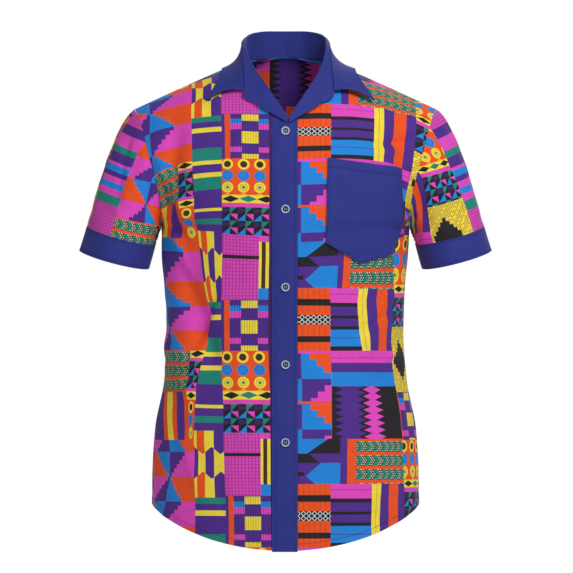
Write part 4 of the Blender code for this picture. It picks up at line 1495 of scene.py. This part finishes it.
# Creases of a sleeve: from and to, as millimetres round from its top line and shares down its length
SLEEVE_CREASES = (
    (34, 0.05, 70, 0.62, 10, -4.9),
    (52, 0.02, 96, 0.50, 9, 3.8),
    (120, 0.02, 70, 0.66, 11, -5.2),
    (150, 0.02, 108, 0.74, 12, 4.6),
    (176, 0.04, 150, 0.86, 12, -4.2),
    (18, 0.20, 40, 0.98, 13, 2.9),
    (-40, 0.04, -72, 0.62, 10, -4.2),
    (-118, 0.04, -76, 0.70, 12, 4.2),
    (-150, 0.04, -118, 0.80, 12, -4.2),
    (-20, 0.30, -34, 0.98, 13, 2.6),
)
SLEEVE_LENGTH_DRAWN = 200.0
# Where a sleeve's top line and its end lie on the chart, and how much its print runs on down the sleeve
SLEEVE_CHART = {"right": (257.0, 75.4, 1.09), "left": (323.0, 56.0, 1.0)}


def armhole(sign):
    """Points and outward normals round an armhole, from the shoulder tip down the front and back up."""
    share = np.linspace(0, 1, ARMHOLE_STEPS + 1)
    front_girth = np.maximum(share * front.armpit(), SEAM_GAP / 2)
    back_girth = np.maximum(share[-2:0:-1] * back.armpit(), SEAM_GAP / 2)
    points, normals = [], []
    for body, girth in ((front, front_girth), (back, back_girth)):
        points.append(body.points(float(sign), girth, fine=0.0))
        normals.append(body.facing(float(sign), girth))
    return np.concatenate(points), np.concatenate(normals)


def sleeve_paths(sign):
    """Lines from the armhole to the sleeve's end, one for each point round it."""
    start, start_out = armhole(sign)
    angle = np.linspace(0, 2 * np.pi, len(start) + 1)[:-1]
    tilt = np.radians(CUFF_TILT)
    wide = np.array([sign * np.cos(tilt), 0.0, np.sin(tilt)]) * CUFF_HALF_WIDTH
    deep = np.array([0.0, -1.0, 0.0]) * CUFF_HALF_DEPTH
    centre = np.array(CUFF_CENTRE) * (sign, 1, 1)
    end = centre + wide * np.cos(angle)[:, None] + deep * np.sin(angle)[:, None]
    end[:, 2] -= CUFF_FRONT_DROOP * np.maximum(np.sin(angle), 0)
    axis = unit(centre - start.mean(axis=0))
    reach = np.linalg.norm(end - start, axis=-1, keepdims=True) * SLEEVE_TAKE_OFF
    top = (0.5 + 0.5 * np.cos(angle))[:, None]
    top_way = np.array(SLEEVE_TOP_WAY) * (sign, 1, 1)
    leave = unit(axis * (1 - TOP_WEIGHT * top) + top_way * (TOP_SHARE + TOP_WEIGHT * top))
    t = np.linspace(0, 1, PATH_STEPS)[:, None, None]
    paths = (
        start * (1 + 2 * t) * (1 - t) ** 2
        + leave * reach * t * (1 - t) ** 2
        + end * t**2 * (3 - 2 * t)
        - axis * reach * t**2 * (1 - t)
    )
    return paths, start_out


def path_normals(paths, first):
    across = np.roll(paths, -1, axis=1) - np.roll(paths, 1, axis=1)
    out = unit(np.cross(across, np.gradient(paths, axis=0)))
    middle = paths.mean(axis=1, keepdims=True)
    out *= np.sign(np.einsum("rci,rci->rc", out, paths - middle).mean())
    agree = np.einsum("ci,ci->c", first, out[1])
    kept = (1 - ease((NORMALS_AGREE - agree) / NORMALS_AGREE))[None, :, None]
    kept = kept * (1 - ease(np.linspace(0, 1, len(paths)) / BODY_NORMALS_SHARE)[:, None, None])
    return unit(first * kept + out * (1 - kept))


def at_lengths(paths, values, wanted):
    """Rings of values at wanted lengths along every path; wanted has a row for each ring."""
    lengths = lengths_along(paths, 0)
    rings = np.empty(wanted.shape + (3,))
    for c in range(paths.shape[1]):
        for axis in range(3):
            rings[:, c, axis] = np.interp(wanted[:, c], lengths[:, c], values[:, c, axis])
    return rings


def sleeve(side, sign):
    paths, start_out = sleeve_paths(sign)
    # The tube opens at the underarm seam, so the first column is the armpit's
    paths = np.roll(paths, -ARMHOLE_STEPS, axis=1)
    start_out = np.roll(start_out, -ARMHOLE_STEPS, axis=0)
    out = path_normals(paths, start_out)
    total = lengths_along(paths, 0)[-1]
    uneven = Uneven(20 + sign)
    spans = (
        ("sleeve_" + side, SEAM_GAP, total - CUFF_DEPTH - SEAM_GAP, SLEEVE_ROWS, 0.0, WALL, printed),
        ("cuff_" + side, total - CUFF_DEPTH, total, BAND_ROWS, BAND_STAND_OUT, BAND_WALL, poplin),
    )
    faces = []
    for name, first, last, rows, rise, thick, finish in spans:
        share = np.linspace(0, 1, rows + 1)[:, None]
        wanted = first + (last - first) * share
        rings = at_lengths(paths, paths, wanted)
        ways = unit(at_lengths(paths, out, wanted))
        closed = np.concatenate([rings, rings[:, :1]], axis=1)
        around = lengths_along(closed, 1)
        around = (around - around[:, [-1 - ARMHOLE_STEPS]]) * -sign
        down = np.concatenate([total - wanted, (total - wanted)[:, :1]], axis=1)
        cut = np.stack([around, -down], -1)
        laid = cut
        lengths = share * SLEEVE_LENGTH_DRAWN * np.ones(paths.shape[1])
        seen = np.stack([around[:, :-1] * sign, lengths], -1)
        if finish is printed:
            creases = np.array(SLEEVE_CREASES) * (1, SLEEVE_LENGTH_DRAWN, 1, SLEEVE_LENGTH_DRAWN, 1, 1)
            ends_calm = ease(share / SLEEVE_CALM[0]) * ease((1 - share) / SLEEVE_CALM[1])
            fine = (fold_heights(seen, creases) + uneven.height(seen)) * ends_calm
            top_line, end_line, grain = SLEEVE_CHART[side]
            laid = cut * (1.0, grain) + (top_line, end_line)
        else:
            edge = np.minimum(share, 1 - share) * CUFF_DEPTH
            fine = -seam_sink(edge - BAND_STITCH)
        outer = rings + ways * (rise + fine)[..., None]
        inner = rings + ways * (rise - thick + fine * (finish is printed))[..., None]
        made = wall(name + "_cloth", outer, inner, laid, finish, around=True)
        dress(made, name, cut)
        faces.append(outer)
    return faces


sleeve_faces = {side: sleeve(side, sign) for side, sign in (("right", -1), ("left", 1))}

# %% [markdown]
# ## Buttons
#
# Five round shirt buttons with a raised rim, which is coloured pale as a painted highlight, and a darker
# blue hollow middle, sewn through four holes.
# Real ones are pressed from casting resin. One is modelled from a cylinder: the top face is inset and
# pushed down to leave the rim, a bevel rounds the edges, and a boolean cuts the holes. It is then copied
# to each place on the placket, each copy with a mesh of its own.

# %% Button plastic and thread
BUTTON_RADIUS = 6.3
BUTTON_THICK = 2.4
BUTTON_DISH = 0.8
BUTTON_RIM = 1.15
BUTTON_EDGE = 0.35
BUTTON_FIRST_HEIGHT = -98.0
BUTTON_SPACING = 116.3
BUTTON_COUNT = 5
BUTTON_LIFT = LAYER_GAP + WALL + SEAM_GAP
HOLE_RADIUS = 0.75
HOLE_PLACE = 1.25
SEWN_RADIUS = 0.32
SEWN_LENGTH = 3.25
DISH_SLOPE = 0.5
DRILL_LENGTH = 8.0
BUTTON_SIDES = 64
HOLE_SIDES = 20
SEWN_SIDES = 12
EDGE_SEGMENTS = 3
BUTTON_SHARP = np.radians(35)


def fleck(name, colour, grain, tones, roughness, bump=None, **settings):
    """A material of one colour that fine noise makes paler, darker, rougher and smoother."""
    made, tree, shader = new_material(name, **settings)
    noise = add(tree, "TexNoise", add(tree, "TexCoord", out="Object"), None, *grain, 0.5)
    if bump:
        tree.links.new(add(tree, "Bump", *bump, None, noise), shader.inputs["Normal"])
    tone = add(tree, "MapRange", noise, *NOISE, *tones)
    rough = add(tree, "MapRange", noise, *NOISE, *roughness)
    paint(tree, shader, dye(tree, colour), tone, rough)
    return made


# Casting resin, poured and polished: faintly clouded, with a clear hard shine. The rim's pale colour is a
# painted highlight, the light that a clear button catches on its rim, and the dish keeps the button's own
# blue.
CLOUDS = (420.0, 3.0)
CLOUD_TONES = (0.90, 1.06)
RESIN_IOR = 1.54
# Painted highlight: the rim's pale colour stands for the light caught on the rim of a clear button.
rim_resin_painted_highlight = fleck("pale_resin_painted_rim_highlight", "C9CCDD", CLOUDS, CLOUD_TONES, (0.23, 0.34), IOR=RESIN_IOR)
dish_resin = fleck("blue_casting_resin", "2B3166", CLOUDS, CLOUD_TONES, (0.29, 0.40), IOR=RESIN_IOR)
# Spun polyester sewing thread: two twisted strands, which break up the light and look dull
TWIST = ((2600.0, 2.0), (0.8, 1.15), (0.65, 0.8), (0.4, 0.0001))
THREAD_SHEEN = 0.2
white_thread = fleck("white_polyester_thread", "D5D6E2", *TWIST, Sheen_Weight=THREAD_SHEEN)
blue_thread = fleck("blue_polyester_thread", "262B70", *TWIST, Sheen_Weight=THREAD_SHEEN)
print("materials:", len(bpy.data.materials))

# %% [markdown]
# The blank comes first: rim, dish and rounded edges, all from one cylinder.

# %% Model one button
bpy.ops.object.select_all(action="DESELECT")
radius, thick = BUTTON_RADIUS * MM, BUTTON_THICK * MM
bpy.ops.mesh.primitive_cylinder_add(
    vertices=BUTTON_SIDES, radius=radius, depth=thick, location=(0, 0, thick / 2)
)
pattern = bpy.context.object
pattern.name = "button_pattern"
for material in (rim_resin_painted_highlight, dish_resin, white_thread):
    pattern.data.materials.append(material)
bpy.ops.object.mode_set(mode="EDIT")
bpy.ops.mesh.select_mode(type="FACE")
bpy.ops.mesh.select_all(action="DESELECT")
bpy.ops.object.mode_set(mode="OBJECT")
for face in pattern.data.polygons:
    face.select = face.normal.z > 0.9
bpy.ops.object.mode_set(mode="EDIT")
bpy.ops.mesh.inset(thickness=BUTTON_RIM * MM)
bpy.ops.mesh.inset(thickness=DISH_SLOPE * MM)
bpy.ops.transform.translate(value=(0, 0, -BUTTON_DISH * MM))
pattern.active_material_index = 1
bpy.ops.object.material_slot_assign()
bpy.ops.object.mode_set(mode="OBJECT")
bevel = pattern.modifiers.new("edge", "BEVEL")
bevel.width = BUTTON_EDGE * MM
bevel.segments = EDGE_SEGMENTS
bevel.limit_method = "ANGLE"
bpy.ops.object.modifier_apply(modifier="edge")
print("button blank:", len(pattern.data.polygons), "faces")

# %% [markdown]
# Four holes are bored through the dish, and two bars of thread join them in pairs.

# %% Holes and the thread through them
for x in (-1, 1):
    for y in (-1, 1):
        place = (x * HOLE_PLACE * MM, y * HOLE_PLACE * MM, 0)
        bpy.ops.mesh.primitive_cylinder_add(
            vertices=HOLE_SIDES, radius=HOLE_RADIUS * MM, depth=DRILL_LENGTH * MM, location=place
        )
        drill = bpy.context.object
        hole = pattern.modifiers.new("hole", "BOOLEAN")
        hole.operation = "DIFFERENCE"
        hole.object = drill
        bpy.context.view_layer.objects.active = pattern
        bpy.ops.object.modifier_apply(modifier="hole")
        bpy.data.objects.remove(drill)
sewn = []
for x in (-1, 1):
    height = (BUTTON_THICK - BUTTON_DISH + SEWN_RADIUS * 0.6) * MM
    bpy.ops.mesh.primitive_cylinder_add(
        vertices=SEWN_SIDES,
        radius=SEWN_RADIUS * MM,
        depth=SEWN_LENGTH * MM,
        location=(x * HOLE_PLACE * MM, 0, height),
        rotation=(np.pi / 2, 0, 0),
    )
    bar = bpy.context.object
    bpy.ops.object.transform_apply(location=True, rotation=True, scale=True)
    bar.data.materials.append(white_thread)
    sewn.append(bar)
for bar in sewn:
    bar.select_set(True)
pattern.select_set(True)
bpy.context.view_layer.objects.active = pattern
bpy.ops.object.join()
bpy.ops.object.transform_apply(location=True, rotation=True, scale=True)
bpy.ops.object.shade_smooth_by_angle(angle=BUTTON_SHARP)
print("button with holes and thread:", len(pattern.data.polygons), "faces")

# %% [markdown]
# Each copy is turned to the way the placket faces and lies just clear of the cloth.

# %% Sew the buttons on
for k in range(BUTTON_COUNT):
    height = BUTTON_FIRST_HEIGHT - k * BUTTON_SPACING
    turn, girth = front.find(np.array(0.0), np.array(height))
    centre = front.points(turn, girth, np.array(BUTTON_LIFT), fine=0.0) * MM
    out = front.facing(turn, girth)
    side = unit(np.cross((0.0, 0.0, 1.0), out))
    up = np.cross(out, side)
    turned = Matrix(np.stack([side, up, out], -1).tolist()).to_4x4()
    made = put(f"button_{k + 1}_sewn", pattern.data.copy())
    made.data.transform(Matrix.Translation(centre.tolist()) @ turned)
    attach(made, "root")
    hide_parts(f"button_{k + 1}")
bpy.data.objects.remove(pattern)
print("buttons:", BUTTON_COUNT)

# %% [markdown]
# ## Stitching
#
# A shirt is sewn with a lockstitch: short dashes of thread, about eight to the inch, each pulled a little
# into the cloth. The grooves are already in the pieces. Here every dash is a tiny arched rod laid along
# a line on the outside of the cloth, at the distance from the edge where the machine's foot ran.

# %% Stitches
STITCH = 2.5
STITCH_PITCH = 3.3
THREAD_RADIUS = 0.26
STITCH_ARCH = (0.05, 0.28, 0.05)
STITCH_TURNS = np.radians((45, 135, 225, 315))


def line_in(face, centre, distance, axis=0, last=True, trim=0.0):
    """A line across a grid of points, a distance in from one edge, with its outward ways."""
    across, along = np.gradient(face, axis=1), np.gradient(face, axis=0)
    out = unit(np.cross(across, along))
    out = out * np.sign(np.einsum("rci,rci->", out, face - np.array(centre)))
    grids = [np.swapaxes(grid, 0, axis) for grid in (face, out)]
    if last:
        grids = [grid[::-1] for grid in grids]
    wanted = np.full((1, grids[0].shape[1]), distance)
    line, ways = (at_lengths(grids[0], grid, wanted)[0] for grid in grids)
    return line, ways, trim


def stitching(name, lines):
    """Dashes of thread along lines on the cloth, as one piece."""
    points, faces = [], []
    for line, ways, trim in lines:
        length = lengths_along(line, 0)
        starts = np.arange(trim, length[-1] - trim - STITCH, STITCH_PITCH)
        spots = starts[:, None] + np.array((0.0, 0.5, 1.0)) * STITCH
        middle, out = (
            np.stack([np.interp(spots, length, values) for values in grid.T], -1) for grid in (line, ways)
        )
        middle = middle + unit(out) * (np.array(STITCH_ARCH) + THREAD_RADIUS)[:, None]
        side = unit(np.cross(unit(out), middle[:, 2:] - middle[:, :1]))
        for cosine, sine in zip(np.cos(STITCH_TURNS), np.sin(STITCH_TURNS)):
            points.append((middle + (side * cosine + unit(out) * sine) * THREAD_RADIUS).reshape(-1, 3))
        count = len(starts) * 3
        base = sum(len(p) for p in points) - 4 * count
        for k in range(len(starts)):
            for step in (0, 1):
                for turn in range(4):
                    p, q = (base + edge * count + k * 3 + step for edge in (turn, (turn + 1) % 4))
                    faces.append((p, q, q + 1, p + 1))
            faces.append(tuple(base + turn * count + k * 3 for turn in (3, 2, 1, 0)))
            faces.append(tuple(base + turn * count + k * 3 + 2 for turn in range(4)))
    mesh = bpy.data.meshes.new(name)
    mesh.from_pydata((np.concatenate(points) * MM).tolist(), [], faces)
    mesh.materials.append(blue_thread)
    mesh.shade_smooth()
    made = put(name, mesh)
    bpy.ops.object.select_all(action="DESELECT")
    made.select_set(True)
    bpy.context.view_layer.objects.active = made
    bpy.ops.object.mode_set(mode="EDIT")
    bpy.ops.mesh.select_all(action="SELECT")
    bpy.ops.mesh.normals_make_consistent(inside=False)
    bpy.ops.object.mode_set(mode="OBJECT")
    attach(made, "root")
    print(f"{name}: {len(faces) // 10} stitches")


CHEST = (0.0, 40.0, -330.0)
NECK = (0.0, 10.0, -60.0)
stitching("placket_stitches", [
    line_in(placket_face, CHEST, PLACKET_STITCH, axis=1, last=False, trim=3.0),
    line_in(placket_face, CHEST, PLACKET_STITCH, axis=1, last=True, trim=3.0),
])
stitching("pocket_stitches", [
    line_in(pocket_face, CHEST, POCKET_HEM, axis=0, last=False, trim=3.0),
    line_in(pocket_face, CHEST, POCKET_STITCH, axis=1, last=False, trim=2.0),
    line_in(pocket_face, CHEST, POCKET_STITCH, axis=1, last=True, trim=2.0),
    line_in(pocket_face, CHEST, POCKET_STITCH, axis=0, last=True, trim=3.0),
])
stitching("collar_leaf_stitches", [
    line_in(leaf_face, NECK, LEAF_STITCH, axis=1, last=True, trim=LEAF_STITCH),
    line_in(leaf_face, NECK, LEAF_STITCH, axis=0, last=False, trim=LEAF_STITCH),
    line_in(leaf_face, NECK, LEAF_STITCH, axis=0, last=True, trim=LEAF_STITCH),
])
for side, faces in sleeve_faces.items():
    tube = np.concatenate([faces[1], faces[1][:, :1]], axis=1)
    middle = tube.reshape(-1, 3).mean(axis=0)
    stitching(f"cuff_{side}_stitches", [
        line_in(tube, middle, BAND_STITCH, last=False),
        line_in(tube, middle, BAND_STITCH, last=True),
    ])
for name, face in (("right", face_right), ("left", face_left), ("back", face_back)):
    hem = line_in(face[-HEM_ROWS - 6:], CHEST, HEM_STITCH, trim=4.0)
    stitching(f"hem_{name}_stitches", [hem])
